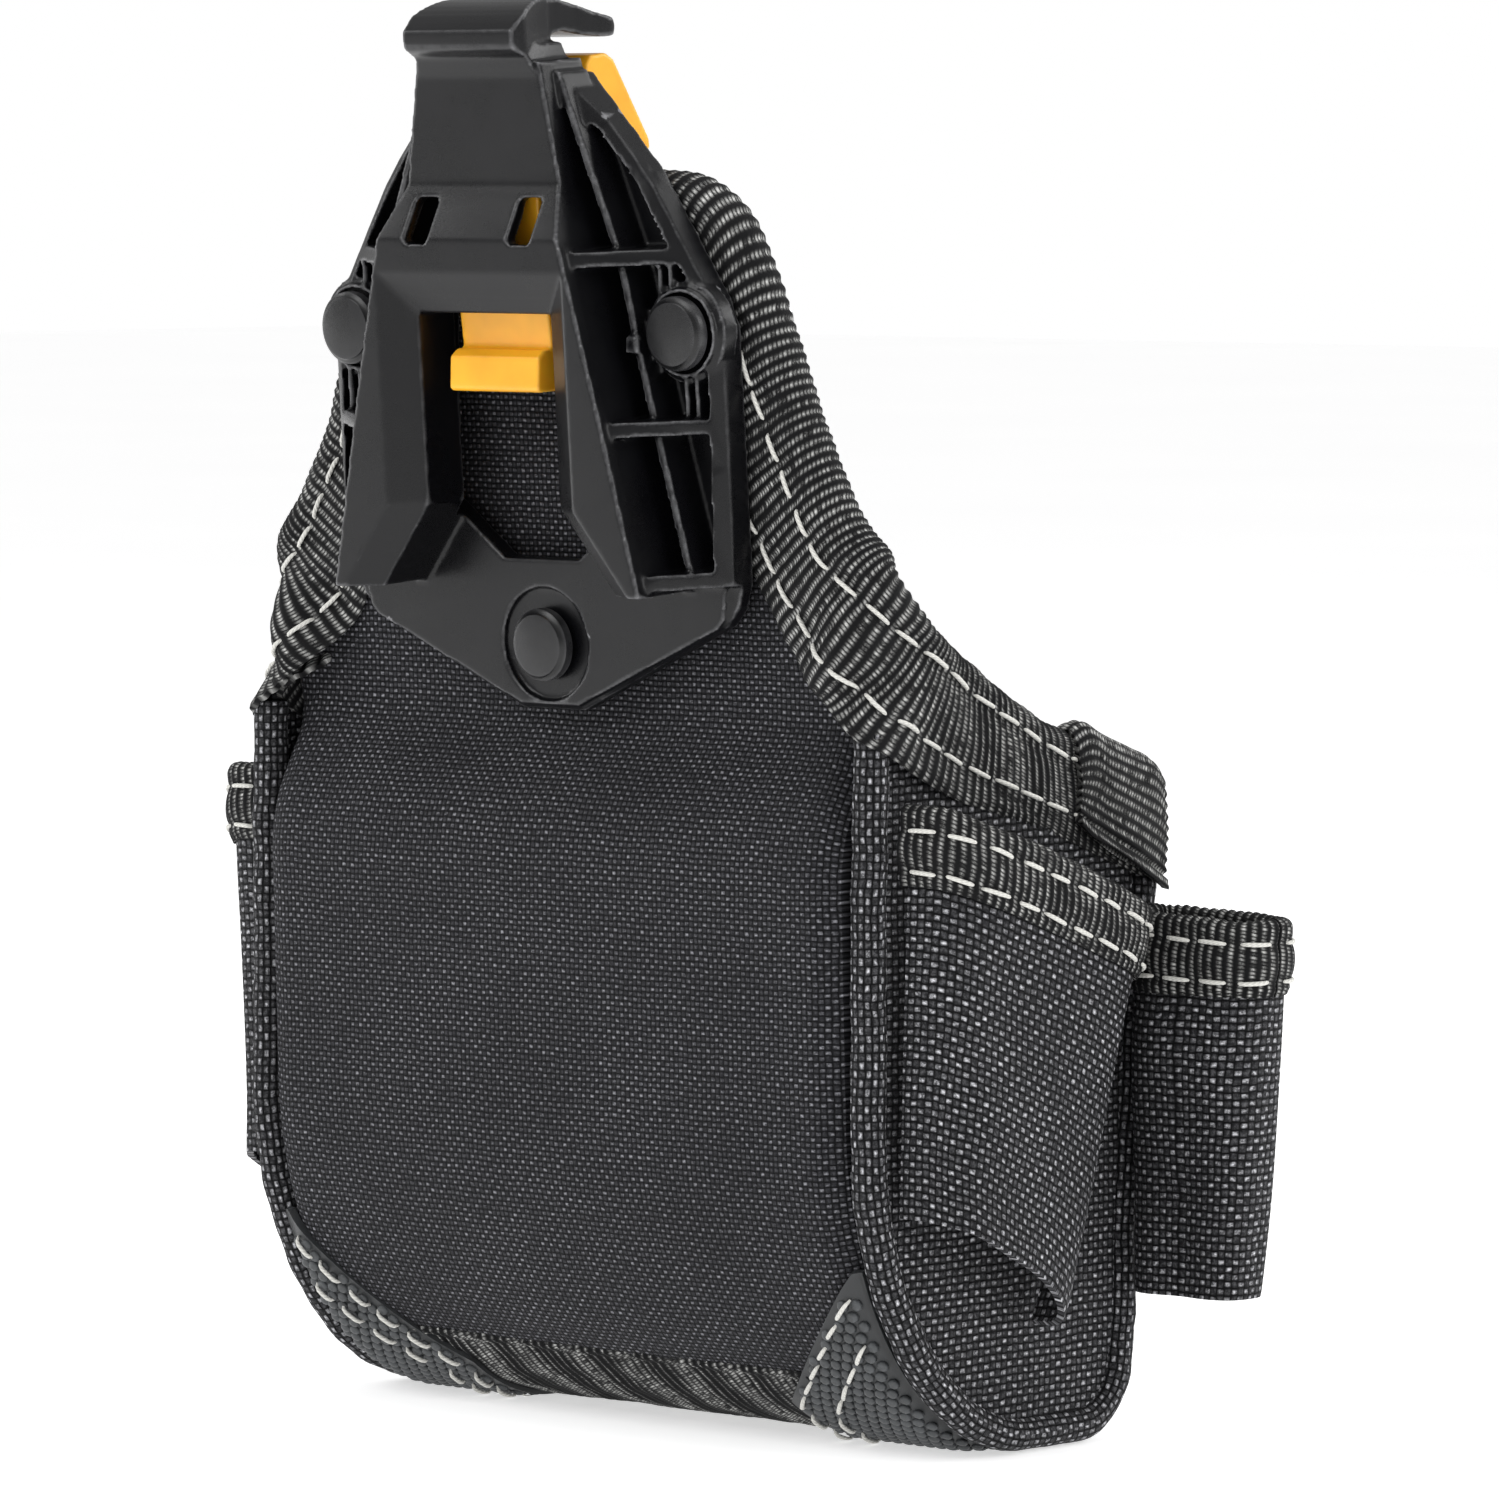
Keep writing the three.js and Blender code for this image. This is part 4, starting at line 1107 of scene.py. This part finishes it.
def dot_centres(edge_s):
    """(x, s) of the patch's dots, in staggered rows. edge_s are the distances at which its edge is drawn."""
    for i, s in enumerate(np.arange(PATCH_START + 1.6, PATCH_END - 1.2, DOT_PITCH * math.sqrt(3) / 2)):
        for x in np.arange(PATCH_INNER - 4, 69.8, DOT_PITCH) + (i % 2) * DOT_PITCH / 2:
            if np.interp(s, edge_s, patch_edge(edge_s)) + 1.7 <= x <= 69.4:
                yield x, s


def patch_dots(sign, tag, edge_s):
    points, faces = [], []
    ring = np.linspace(0, FULL_TURN, DOT_SIDES + 1)[:-1]
    for x, s in dot_centres(edge_s):
        centre, n = on_wrap(x, s, patch_lift(x))
        centre = centre * (sign, 1, 1)
        tangent = np.array([0, -n[2], n[1]])
        base = len(points)
        for scale, rise in DOT_LEVELS:
            r = DOT_R * scale
            points += [centre + (r * math.cos(a), 0, 0) + tangent * r * math.sin(a) + n * rise for a in ring]
        points.append(centre + n * DOT_TIP)
        last = len(points) - 1 - DOT_SIDES
        for j in range(DOT_SIDES):
            k = (j + 1) % DOT_SIDES
            for low in range(base, last, DOT_SIDES):
                faces.append([low + j, low + k, low + k + DOT_SIDES, low + j + DOT_SIDES])
            faces.append([last + j, last + k, len(points) - 1])
        faces.append(list(range(base, base + DOT_SIDES))[::-1])
    dots = edited(raw_mesh(np.array(points), faces), face_outward)
    finish_piece("patch_dots_" + tag, dots, RUBBER)


def corner_patch(sign, tag):
    """A dotted patch over a lower back corner. Returns the lines for its stitches."""
    s = np.linspace(PATCH_START, PATCH_END, 100)
    inner = patch_edge(s)[:, None]
    x = inner + (WRAP_HALF + 1.2 - inner) * np.linspace(0, 1, 40)[None]
    ss = s[:, None] + 0 * x
    p, n = on_wrap(sign * x, ss, patch_lift(x))
    cloth_piece("dotted_patch_" + tag, (p, np.stack([x, ss], axis=-1)), n, 1.4, RUBBER,
                ("corner_patch_" + tag,))
    patch_dots(sign, tag, s)
    rows = []
    for inset in (2.2, 8.6):
        run = np.linspace(PATCH_START + inset * 1.35, PATCH_LOW + 2.0, 60)
        x = patch_edge(run) + inset * 1.35
        keep = x < 68.6
        rows.append(on_wrap(sign * x[keep], run[keep], patch_lift(x[keep]) + 0.75))
    run = np.linspace(PATCH_LOW + 2.0, PATCH_END - 2, 80)
    for inset in (2.4, 8.8):
        x = patch_edge(run) + inset
        rows.append(on_wrap(sign * x, run, patch_lift(x) + 0.75))
    return rows


bottom_strip()
patch_rows = []
for side in BOTH_SIDES:
    patch_rows += corner_patch(*side)
sew("patch_stitching", patch_rows, 13, trim=0.5, stitch=5.2, pitch=6.6)


# Front and pocket ---------------------------------------------------------------------------------

POCKET_HALF, POCKET_LOW, POCKET_HIGH = 59.0, 15.0, 82.0
EDGING_HALF = 68.5


def front_panel():
    s0, s1 = wrap_where(12.6, True), wrap_where(116.4, True)
    xx, ss = crossed(np.linspace(-1, 1, 110) * WRAP_HALF, np.linspace(s0, s1, 120))
    edge = np.clip((np.abs(xx) - 62) / 7.3, 0, 1)
    ends = np.clip((ss - s0) / 14, 0, 1) * np.clip((s1 - ss) / 20, 0, 1)
    crown = 0.7 * (1 - (xx / WRAP_HALF) ** 2) * ends
    soft = 0.45 * wave_noise(xx, ss, 71, 40.0) * ends
    p, n = on_wrap(xx, ss, crown + soft - 2.6 * edge**2.2)
    cloth_piece("front_panel_cloth", (p, np.stack([xx, ss], axis=-1)), n, 1.8, BALLISTIC,
                ("front_panel",))
    x = np.linspace(-EDGING_HALF, EDGING_HALF, 380)
    drop = 0.8 * ((x / EDGING_HALF) ** 2)
    fold, n = on_wrap(x, s1 + 2.2 - drop, 0.9)
    low, _ = on_wrap(x, s1 - 12.6 - drop, 0.9)
    return folded("front_edging", fold, low, -n, 4.0, ("front_binding",), EDGING_ROWS, 72, flats=(22, 12))


def pocket_swell(x):
    """How far the pocket's mouth stands off the panel for x from -1 to 1, and how free it is of the side."""
    side = np.clip((1 - np.abs(x)) / 0.16, 0, 1)
    return 7.4 * np.sin(side * math.pi / 2) ** 0.8, side


def front_pocket():
    xx, tt = crossed(np.linspace(-1, 1, 120), np.linspace(0, 1, 90))
    z = POCKET_LOW + (POCKET_HIGH - POCKET_LOW) * tt
    swell, side = pocket_swell(xx)
    swell = swell * (0.35 + 0.65 * tt**0.7) * ease(tt / 0.1 + 0.05)
    soft = 0.5 * wave_noise(xx * 60, z, 75, 34.0) * side
    p, n = on_wrap(xx * POCKET_HALF, wrap_where(z, True), 1.0 + swell + soft)
    uv = np.stack([xx * POCKET_HALF, z], axis=-1)
    cloth_piece("front_pocket_cloth", (p, uv), n, 1.3, BALLISTIC, ("front_pocket",))
    x = np.linspace(-1, 1, 330)
    swell, _ = pocket_swell(x)
    fold, n = on_wrap(x * POCKET_HALF, wrap_where(POCKET_HIGH + 1.6, True), 2.3 + swell)
    low, _ = on_wrap(x * POCKET_HALF, wrap_where(POCKET_HIGH - 12.4, True), 2.2 + swell * 0.955)
    rows = folded("pocket_edging", fold, low, -n, 3.4, ("front_pocket_binding",), EDGING_ROWS, 76,
                  flats=(20, 12))
    s = wrap_where(np.linspace(POCKET_LOW + 4, POCKET_HIGH - 16, 60), True)
    rows += [on_wrap(sign * (POCKET_HALF - 1.2), s, 2.4) for sign in (-1, 1)]
    x = np.linspace(-POCKET_HALF + 3, POCKET_HALF - 3, 120)
    rows.append(on_wrap(x, wrap_where(POCKET_LOW + 2.2, True), 2.6))
    return rows


sew("front_stitching", front_panel() + front_pocket(), 14)


# Lining -------------------------------------------------------------------------------------------


def lining():
    low_y, low_z = lean_yz(4.9, 34.0)
    line = route(lean_yz(4.9, 219.0), (low_y, low_z), (low_y + 1.0, 16, 10, 8.6, 26, 8.6), (38, 8.6),
                 (45, 8.6, 48, 12, 48.8, 22), (50.8, 70, 57.2, 115.5), steps=40)
    line = even(line, 260)
    edge = outline_x(line[:, 1])
    edge[int(np.argmin(line[:, 1])) :] = 200
    half = np.minimum(edge - 3.0, 71.6)
    xx = np.linspace(-1, 1, 80)[None] * half[:, None]
    inward = sides(line)
    if inward[10, 0] < 0:
        inward = -inward
    s = lengths(line)
    ss = s[:, None] + 0 * xx
    y, z, ny, nz = (column[:, None] + 0 * xx for column in (*line.T, *inward.T))
    n = np.stack([0 * xx, ny, nz], axis=-1)
    soft = 0.2 * wave_noise(xx, ss, 79, 50.0) + 0.05
    p = np.stack([xx, y, z], axis=-1) + n * soft[..., None]
    cloth_piece("inner_lining", (p, np.stack([xx, ss], axis=-1)), n, 0.8, LINING, ("back_lining",))


lining()


# Belt clip ----------------------------------------------------------------------------------------

CLIP_BACK = -5.3
CLIP_BASE = -8.3
CLIP_PAD = -9.5
CLIP_TOP = 241.0
WING_BOTTOM = 148.0
WINDOW_TOP = 197.0
INTO_BASE = CLIP_BASE + 0.5
WEB_FOOT = CLIP_BASE + 0.4
BOTTOM_STEP = -20
FAR = 40
RIVET_HOLE = 2.9
PIVOT_R = 1.9
PIVOT_Y, PIVOT_Z = -14.2, 214.0
# Edges of the front plate and the base, as (x, z) down their right sides.
PLATE_EDGE = [(14.8, 241), (18.6, 219), (22, 210), (29.5, 180), (37, 148)]
BASE_EDGE = [(15, 238.5), (31, 221), (45, 199), (47, 193.5), (47, 150), (45.6, 145), (42.6, 141.5),
             (7.4, 125.5)]
RIVETS = {"left": (-39.5, 193.4), "right": (39.5, 193.4), "bottom": (0.0, 137.2)}


def both(outline):
    """An outline of (x, z) drawn for the right half, closed over the middle."""
    return outline + [(-x, z) for x, z in outline[::-1] if x != 0]


def rectangle(x, z, wide, tall):
    return [(x, z), (x + wide, z), (x + wide, z + tall), (x, z + tall)]


def circle(a, b, radius, count):
    turns = np.linspace(0, FULL_TURN, count + 1)[:-1]
    return [(a + radius * math.cos(turn), b + radius * math.sin(turn)) for turn in turns]


def solid_of(rings):
    """A closed mesh through rings of equal count, capped at both ends."""
    count = len(rings[0])
    points = [tuple(float(c) for c in p) for ring in rings for p in ring]
    faces = [list(range(count))[::-1], [len(points) - count + i for i in range(count)]]
    for base in range(0, len(points) - count, count):
        for i in range(count):
            j = (i + 1) % count
            faces.append([base + i, base + j, base + count + j, base + count + i])
    mesh = bpy.data.meshes.new("solid")
    mesh.from_pydata(points, [], faces)

    def close(bm):
        face_outward(bm)
        bmesh.ops.triangulate(bm, faces=[f for f in bm.faces if len(f.verts) > 4])

    return edited(mesh, close)


def prism_xz(outline, y0, y1):
    return solid_of([[(x, y, z) for x, z in outline] for y in (y0, y1)])


def prism_yz(outline, x0, x1):
    return solid_of([[(x, y, z) for y, z in outline] for x in (x0, x1)])


def disc(x, z, radius, y0, y1):
    return prism_xz(circle(x, z, radius, 48), y0, y1)


def evaluated(holder):
    """The holder's mesh with its modifiers applied."""
    return bpy.data.meshes.new_from_object(holder.evaluated_get(bpy.context.evaluated_depsgraph_get()))


def combined(base, tools, kind):
    """The base mesh with every tool mesh joined, cut or kept."""
    holder = add_object("boolean_base", base)
    helpers = [holder]
    for tool in tools:
        cutter = add_object("boolean_tool", tool)
        modifier = holder.modifiers.new("boolean", "BOOLEAN")
        modifier.operation = kind
        modifier.object = cutter
        modifier.solver = "MANIFOLD"
        helpers.append(cutter)
    result = evaluated(holder)
    for helper in helpers:
        bpy.data.objects.remove(helper)
    return result


def mirror_mesh(mesh):
    copy = mesh.copy()
    copy.transform(Matrix.Scale(-1, 4, (1, 0, 0)))
    copy.flip_normals()
    return copy


def edge_x(edge, z):
    """x of an edge, drawn from the top down, at height z."""
    return float(np.interp(-z, [-p[1] for p in edge], [p[0] for p in edge]))


def plate_x(z):
    return edge_x(PLATE_EDGE, z)


def base_x(z):
    return edge_x(BASE_EDGE, z)


def flank_y(x, z):
    """The flank's front face, falling from the plate's edge to the outer rim."""
    plate_y = float(np.interp(z, [210, 219], [-23.4, -18.6]))
    a, b = plate_x(z) - 1.0, max(base_x(z), plate_x(z) + 1.0)
    share = min(max((x - a) / (b - a), 0), 1)
    return plate_y * (1 - share) + -10.4 * share


def flank(levels, left, right, floor, front=None):
    """A block between two x edges (as functions of z), from the floor to the flank's face or to a depth."""
    rings = []
    for z in levels:
        x0, x1 = left(z), max(right(z), left(z) + 0.5)
        y0, y1 = (flank_y(x, z) if front is None else front for x in (x0, x1))
        rings.append([(x0, y0, z), (x1, y1, z), (x1, floor, z), (x0, floor, z)])
    return solid_of(rings)


def clip_plate():
    """The front plate: a shell bent back at its top, with the window and its frame."""
    plate = prism_xz(both([(0, CLIP_TOP)] + PLATE_EDGE + [(0, WING_BOTTOM)]), -FAR, INTO_BASE)
    profile = [(-19.2, 241.5), (-19.2, 219.6), (-24.5, 210.4), (-24.5, 147), (0, 147), (0, 241.5)]
    plate = combined(plate, [prism_yz(profile, -60, 60)], "INTERSECT")
    inner = [(x - 2.6, z) for x, z in PLATE_EDGE]
    hollow = prism_xz(both([(0, CLIP_TOP + 1)] + inner + [(0, WING_BOTTOM)]), -FAR, 5)
    hollow_profile = [(-16.6, 236.5), (-16.6, 219), (-21.9, 210), (-21.9, 146), (8, 146), (8, 236.5)]
    hollow = combined(hollow, [prism_yz(hollow_profile, -60, 60)], "INTERSECT")
    frame_top = WINDOW_TOP + 2.6
    keep = [(0, frame_top), (18.6, frame_top), (18.6, 163), (30.6, 149.5), (30.6, 140), (0, 140)]
    hollow = combined(hollow, [prism_xz(both(keep), -FAR, 10)], "DIFFERENCE")
    window = [(0, WINDOW_TOP), (16, WINDOW_TOP), (16, 163), (28.5, WING_BOTTOM - 0.5), (28.5, 144), (0, 144)]
    return combined(plate, [hollow, prism_xz(both(window), -FAR, 10)], "DIFFERENCE")


def clip_flank():
    """The parts of the right flank: its stepped side, webs and the boss round the rivet."""
    levels = [149, 160, 170, 180, 190, 193.5, 199, 205, 210, 215, 219, 224, 230, 238]
    side = flank(levels, lambda z: plate_x(z) - 1.0, base_x, INTO_BASE)
    cuts = []
    for low, high in ((151.8, 175.8), (178.4, 205.3), (208.0, 234.5)):
        zs = [low] + [z for z in levels if low + 0.5 < z < high - 0.5] + [high]
        cuts.append(flank(zs, lambda z: plate_x(z) + 0.05, lambda z: base_x(z) - 2.5, CLIP_BASE, -FAR))
    parts = [combined(side, cuts, "DIFFERENCE")]
    line = [(14.6, 239.0), (26.3, 209.5), (28.6, 201.0), (30.6, 191.0), (34.2, 175.5), (40.6, 150.0)]
    for (xa, za), (xb, zb) in zip(line, line[1:]):
        parts.append(prism_xz([(xa, za), (xa + 1.5, za), (xb + 1.5, zb), (xb, zb)], -15.6, WEB_FOOT))
    parts.append(prism_xz([(29.4, 193.0), (32.2, 193.0), (32.2, 190.2), (29.4, 190.2)], -16.4, WEB_FOOT))
    for x, z, tall in ((34.2, 199, 7.2), (36.6, 199, 7.2), (39.2, 178, 9), (41.6, 178, 9)):
        parts.append(prism_xz(rectangle(x, z, 0.9, tall), -12.6, WEB_FOOT))
    for radius, face in ((8.9, -11.6), (7.7, -13.0)):
        parts.append(disc(*RIVETS["right"], radius, face, INTO_BASE))
    return parts


def clip_hook():
    """The thumb hook's curved section, cut to its waisted outline seen from above."""
    line = route((-17.5, 236), (-19.0, 240.2), (-19.6, 242.4, -23.6, 242.6, -23.9, 244.2), (-23.9, 246.8),
                 (-20, 250.7, -16.5, 251.9, -12.5, 251.9), (-6, 251.5, -1, 248.6, 4.0, 247.6),
                 (6.0, 247.2, 6.2, 244.6, 4.4, 244.0), (0, 243.8, -4, 245.0, -7, 245.6),
                 (-10.2, 246, -11.4, 244, -11.6, 241), (-11.6, 236), steps=8)
    half = [(10.4, 6.6), (11.2, 4), (9.9, -11), (13.6, -20.5), (13.2, -24.5), (12.2, -26)]
    trim = [(-x, y) for x, y in half] + half[::-1]
    across = solid_of([[(x, y, z) for x, y in trim] for z in (200, 262)])
    return combined(prism_yz([tuple(p) for p in line], -16, 16), [across], "INTERSECT")


def clip_cuts():
    """What is cut from the joined clip: the window's bevel, the lever's room, slots, rivet and pin holes."""
    bevel = []
    for grow, y in ((7.5, -25.1), (-1.2, -20.0)):
        top, half = WINDOW_TOP + grow * 1.15, 16 + grow
        ring = [(0, top), (half, top), (half, 163), (28.5 + grow, 147.5), (28.5 + grow, 140), (0, 140)]
        bevel.append([(x, y, z) for x, z in both(ring)])
    room = [(-19.6, 168), (-19.6, 214), (-16.3, 222), (-16.3, 238.2), (-9.3, 238.2), (-9.3, 240.5),
            (10, 240.5), (10, 168)]
    base_window = [(0, 238.2), (11.2, 238.2), (13, 222), (20, 205), (22.5, 163), (9, 152.4), (0, 152.4)]
    cuts = [solid_of(bevel), prism_yz(room, -11.9, 11.9), prism_xz(both(base_window), -11.2, 0)]
    slot = [(0, 7.2), (0.8, 8), (4.8, 8), (5.6, 7.2), (5.6, 0.8), (4.8, 0), (0.8, 0), (0, 0.8)]
    for left in (-15.2, 9.8):
        cuts.append(prism_xz([(left + x, 209.4 + z) for x, z in slot], -FAR, -12))
    cuts.append(disc(*RIVETS["bottom"], 10.2, BOTTOM_STEP, CLIP_PAD + 1.3))
    for tag in ("left", "right"):
        cuts.append(disc(*RIVETS[tag], 7.1, -30, -11.0))
        cuts.append(disc(*RIVETS[tag], RIVET_HOLE, -30, 0))
    cuts.append(disc(*RIVETS["bottom"], RIVET_HOLE, -30, 0))
    cuts.append(prism_yz(circle(PIVOT_Y, PIVOT_Z, PIVOT_R, 20), -13.9, 13.9))
    return cuts


def clip_mesh():
    base = prism_xz(both([(0, 238.5)] + BASE_EDGE + [(0, 125.5)]), CLIP_BASE, CLIP_BACK)
    foot = [(0, 164), (30, 164), (44, 150), (43.0, 143), (41.2, 141.2), (7.0, 126.4), (0, 126.4)]
    foot = prism_xz(both(foot), CLIP_PAD, INTO_BASE)
    neck = []
    for z, wide, front, narrow in ((238, 14.6, -19.0, 14.6), (244, 13.2, -21.6, 11.6)):
        neck.append([(-wide, front, z), (wide, front, z), (narrow, -9.5, z), (-narrow, -9.5, z)])
    right = clip_flank()
    parts = [foot, clip_plate(), clip_hook(), solid_of(neck), *right, *[mirror_mesh(m) for m in right]]
    return combined(combined(base, parts, "UNION"), clip_cuts(), "DIFFERENCE")


def moulded(name, mesh, voxel, material, body, node, keep):
    """Rounds every edge of a solid drawn in the lean frame: remesh, smooth, thin out."""
    move_points(mesh, place(lean(points_of(mesh))))
    holder = add_object("moulding", mesh)
    remesh = holder.modifiers.new("remesh", "REMESH")
    remesh.mode = "VOXEL"
    remesh.voxel_size = voxel * MM
    soften = holder.modifiers.new("soften", "SMOOTH")
    soften.factor = 0.5
    soften.iterations = 4
    thin = holder.modifiers.new("thin", "DECIMATE")
    thin.ratio = keep
    result = evaluated(holder)
    bpy.data.objects.remove(holder)
    result.polygons.foreach_set("use_smooth", np.ones(len(result.polygons), bool))
    finish_piece(name, result, material, body, (node,))


moulded("clip_moulding", clip_mesh(), 0.42, NYLON, POUCH, "clip_body", keep=0.3)


# Release lever ------------------------------------------------------------------------------------


def lever_mesh():
    """The lever's section, from the arm and catch below to the thumb pad above, with a dish in the pad."""
    front, back = PIVOT_Y - 2.6, PIVOT_Y + 2.8
    section = [(front, 219), (front, 208), (-15.9, 199), (-15.2, 190.4), (-17.0, 190.4), (-18.7, 189.2),
               (-19.3, 183.6), (-18.6, 183.0), (-13.2, 183.0), (-12.6, 184.0), (-12.6, 199), (back, 208),
               (back, 219), (-4, 223.5), (12.3, 223.0), (13.0, 223.8), (12.8, 225.4), (4.6, 240.0),
               (2.6, 241.2), (-1.0, 241.0), (-2.4, 239.4), (-5, 228), (-10, 225)]
    dish = []
    for half, low, high in ((7.6, (13.2, 226.4), (4.8, 240.4)), (6.6, (11.2, 225.8), (3.8, 238.6))):
        dish.append([(-half, *low), (half, *low), (half, *high), (-half, *high)])
    pin = prism_yz(circle(PIVOT_Y, PIVOT_Z, PIVOT_R, 20), -20, 20)
    return combined(prism_yz(section, -10.8, 10.8), [pin, solid_of(dish)], "DIFFERENCE")


moulded("lever_moulding", lever_mesh(), 0.34, AMBER, LEVER, "release_lever", keep=0.35)


# Rivets -------------------------------------------------------------------------------------------

# The turned section, as (radius, depth behind the face).
CAP_PROFILE = [(0.0, 0.0), (4.9, 0.0), (5.5, 0.12), (5.75, 0.55), (6.1, 0.7), (6.45, 1.0), (6.5, 1.5),
               (6.5, 2.6), (6.1, 2.8), (2.6, 2.9), (2.6, 16.0), (0.0, 16.0)]


def weld_cap(bm):
    merge_points(bm, 3e-5)
    face_outward(bm)


def rivet_cap(tag):
    x, z = RIVETS[tag]
    low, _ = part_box("rivet_" + tag)
    front = (low[1] / MM - DRAWING_SHIFT[1] + z * math.sin(LEAN)) / math.cos(LEAN) + 0.5
    count = 72
    points, faces = [], []
    for radius, depth in CAP_PROFILE:
        points += [(a, front + depth, b) for a, b in circle(x, z, max(radius, 0.01), count)]
    for base in range(0, len(points) - count, count):
        for i in range(count):
            j = (i + 1) % count
            faces.append([base + i, base + count + i, base + count + j, base + j])
    mesh = edited(raw_mesh(lean(points), faces, sharp=38), weld_cap)
    finish_piece("rivet_cap_" + tag, mesh, CAP, hides=("rivet_" + tag,))


for rivet_tag in RIVETS:
    rivet_cap(rivet_tag)


# Return spring ------------------------------------------------------------------------------------


def spring_leaf():
    """The leaf spring, a steel strip from its foot in the clip to its tip."""
    foot, tip = np.array([-24.07, 200.75]), np.array([-26.31, 210.62])
    across, t = np.meshgrid(np.linspace(-1, 1, 15), np.linspace(0, 1, 28))
    x = across * (4.0 - 2.2 * np.clip((t - 0.82) / 0.18, 0, 1) ** 2)
    y, z = (foot[k] + (tip[k] - foot[k]) * t for k in (0, 1))
    p = np.stack([x, y + 0.12 * np.sin(math.pi * t), z], axis=-1)
    mesh = shell(*facing(p, np.stack([x, 10.0 * t], axis=-1), (0, -1, 0)), 0.7)
    mesh.name = "spring_leaf"
    mesh.materials.append(BRIGHT_STEEL)
    leaf = add_object("spring_leaf", mesh)
    start, end = place([(0.0, *foot), (0.0, *tip)])
    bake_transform(leaf)
    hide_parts("return_spring")


spring_leaf()


# CAD nodes that stay, in their own looks ----------------------------------------------------------

DRESSED = {"washer_left": BRIGHT_STEEL, "washer_right": BRIGHT_STEEL, "washer_bottom": BRIGHT_STEEL,
           "back_stiffener": SHEET_PLASTIC, "bottom_board": SHEET_PLASTIC, "pivot_pin": BLACK_STEEL}
for node, material in DRESSED.items():
    mesh = frame["nodes"][node].data
    mesh.materials.clear()
    mesh.materials.append(material)


# Camera, floor and light --------------------------------------------------------------------------

AZIMUTH = math.radians(42.0)
ELEVATION = math.radians(3.83)
CAMERA_AT = (1.0995, -1.2013, 0.2307)
FLOOR_HALF = 7.0
LIT_POINT = (0, 0, 0.12)
WHITE = (1.0, 1.0, 1.0, 1.0)
# name, place in metres, size in metres, watts
LAMPS = (("key", (-0.35, -1.25, 1.15), (0.8, 0.8), 9), ("right_fill", (1.5, -0.15, 0.75), (0.6, 1.1), 6.5),
         ("left_strip", (-1.2, -0.5, 0.45), (0.3, 1.2), 4.5), ("top", (0.1, 0.1, 1.5), (1.1, 1.1), 8),
         ("back_rim", (0.75, 1.2, 0.85), (0.9, 0.7), 8))


def camera():
    data = bpy.data.cameras.new("photo_camera")
    cam = add_object("photo_camera", data)
    cam.location = CAMERA_AT
    cam.rotation_euler = (math.radians(90) - ELEVATION, 0, AZIMUTH)
    data.sensor_width = 36
    data.lens = 217.35
    data.clip_start = 0.05
    data.clip_end = 30
    bpy.context.scene.camera = cam


def floor():
    k = Look("studio_floor")
    cloud = k.noise(k.place(), 3.0, 2).mapped(0.3, 0.7, 0.0, 1.0)
    tone = k.mix(cloud, (0.86, 0.86, 0.865), (0.90, 0.90, 0.90))
    corners = [(a * FLOOR_HALF, b * FLOOR_HALF, 0) for a, b in ((-1, -1), (1, -1), (1, 1), (-1, 1))]
    mesh = bpy.data.meshes.new("studio_floor")
    mesh.from_pydata(corners, [], [(0, 1, 2, 3)])
    paint = k.done(tone, 0.6, Specular_IOR_Level=0.2, Emission_Color=WHITE, Emission_Strength=0.57)
    mesh.materials.append(paint)
    add_object("studio_floor", mesh)


def soft_light(name, where, size, watts):
    data = bpy.data.lights.new(name, "AREA")
    data.shape = "RECTANGLE"
    data.size, data.size_y = size
    data.energy = watts
    lamp = add_object(name, data)
    lamp.location = where
    back = unit(np.array(where, float) - np.array(LIT_POINT))
    right = unit(np.cross([0, 0, 1], back))
    up = np.cross(back, right)
    lamp.rotation_euler = Matrix(np.stack([right, up, back], axis=1).tolist()).to_euler()


def world():
    """Even light from all round, with white behind the pouch where the camera sees it."""
    sky = bpy.data.worlds.new("studio")
    bpy.context.scene.world = sky
    sky.use_nodes = True
    nodes, links = sky.node_tree.nodes, sky.node_tree.links
    back = nodes["Background"]
    back.inputs["Color"].default_value = WHITE
    back.inputs["Strength"].default_value = 0.46
    seen = nodes.new("ShaderNodeBackground")
    seen.inputs["Color"].default_value = WHITE
    rays = nodes.new("ShaderNodeLightPath")
    either = nodes.new("ShaderNodeMixShader")
    links.new(rays.outputs["Is Camera Ray"], either.inputs[0])
    links.new(back.outputs[0], either.inputs[1])
    links.new(seen.outputs[0], either.inputs[2])
    links.new(either.outputs[0], nodes["World Output"].inputs[0])


camera()
floor()
world()
for lamp in LAMPS:
    soft_light(*lamp)
bpy.context.scene.view_settings.view_transform = "Standard"
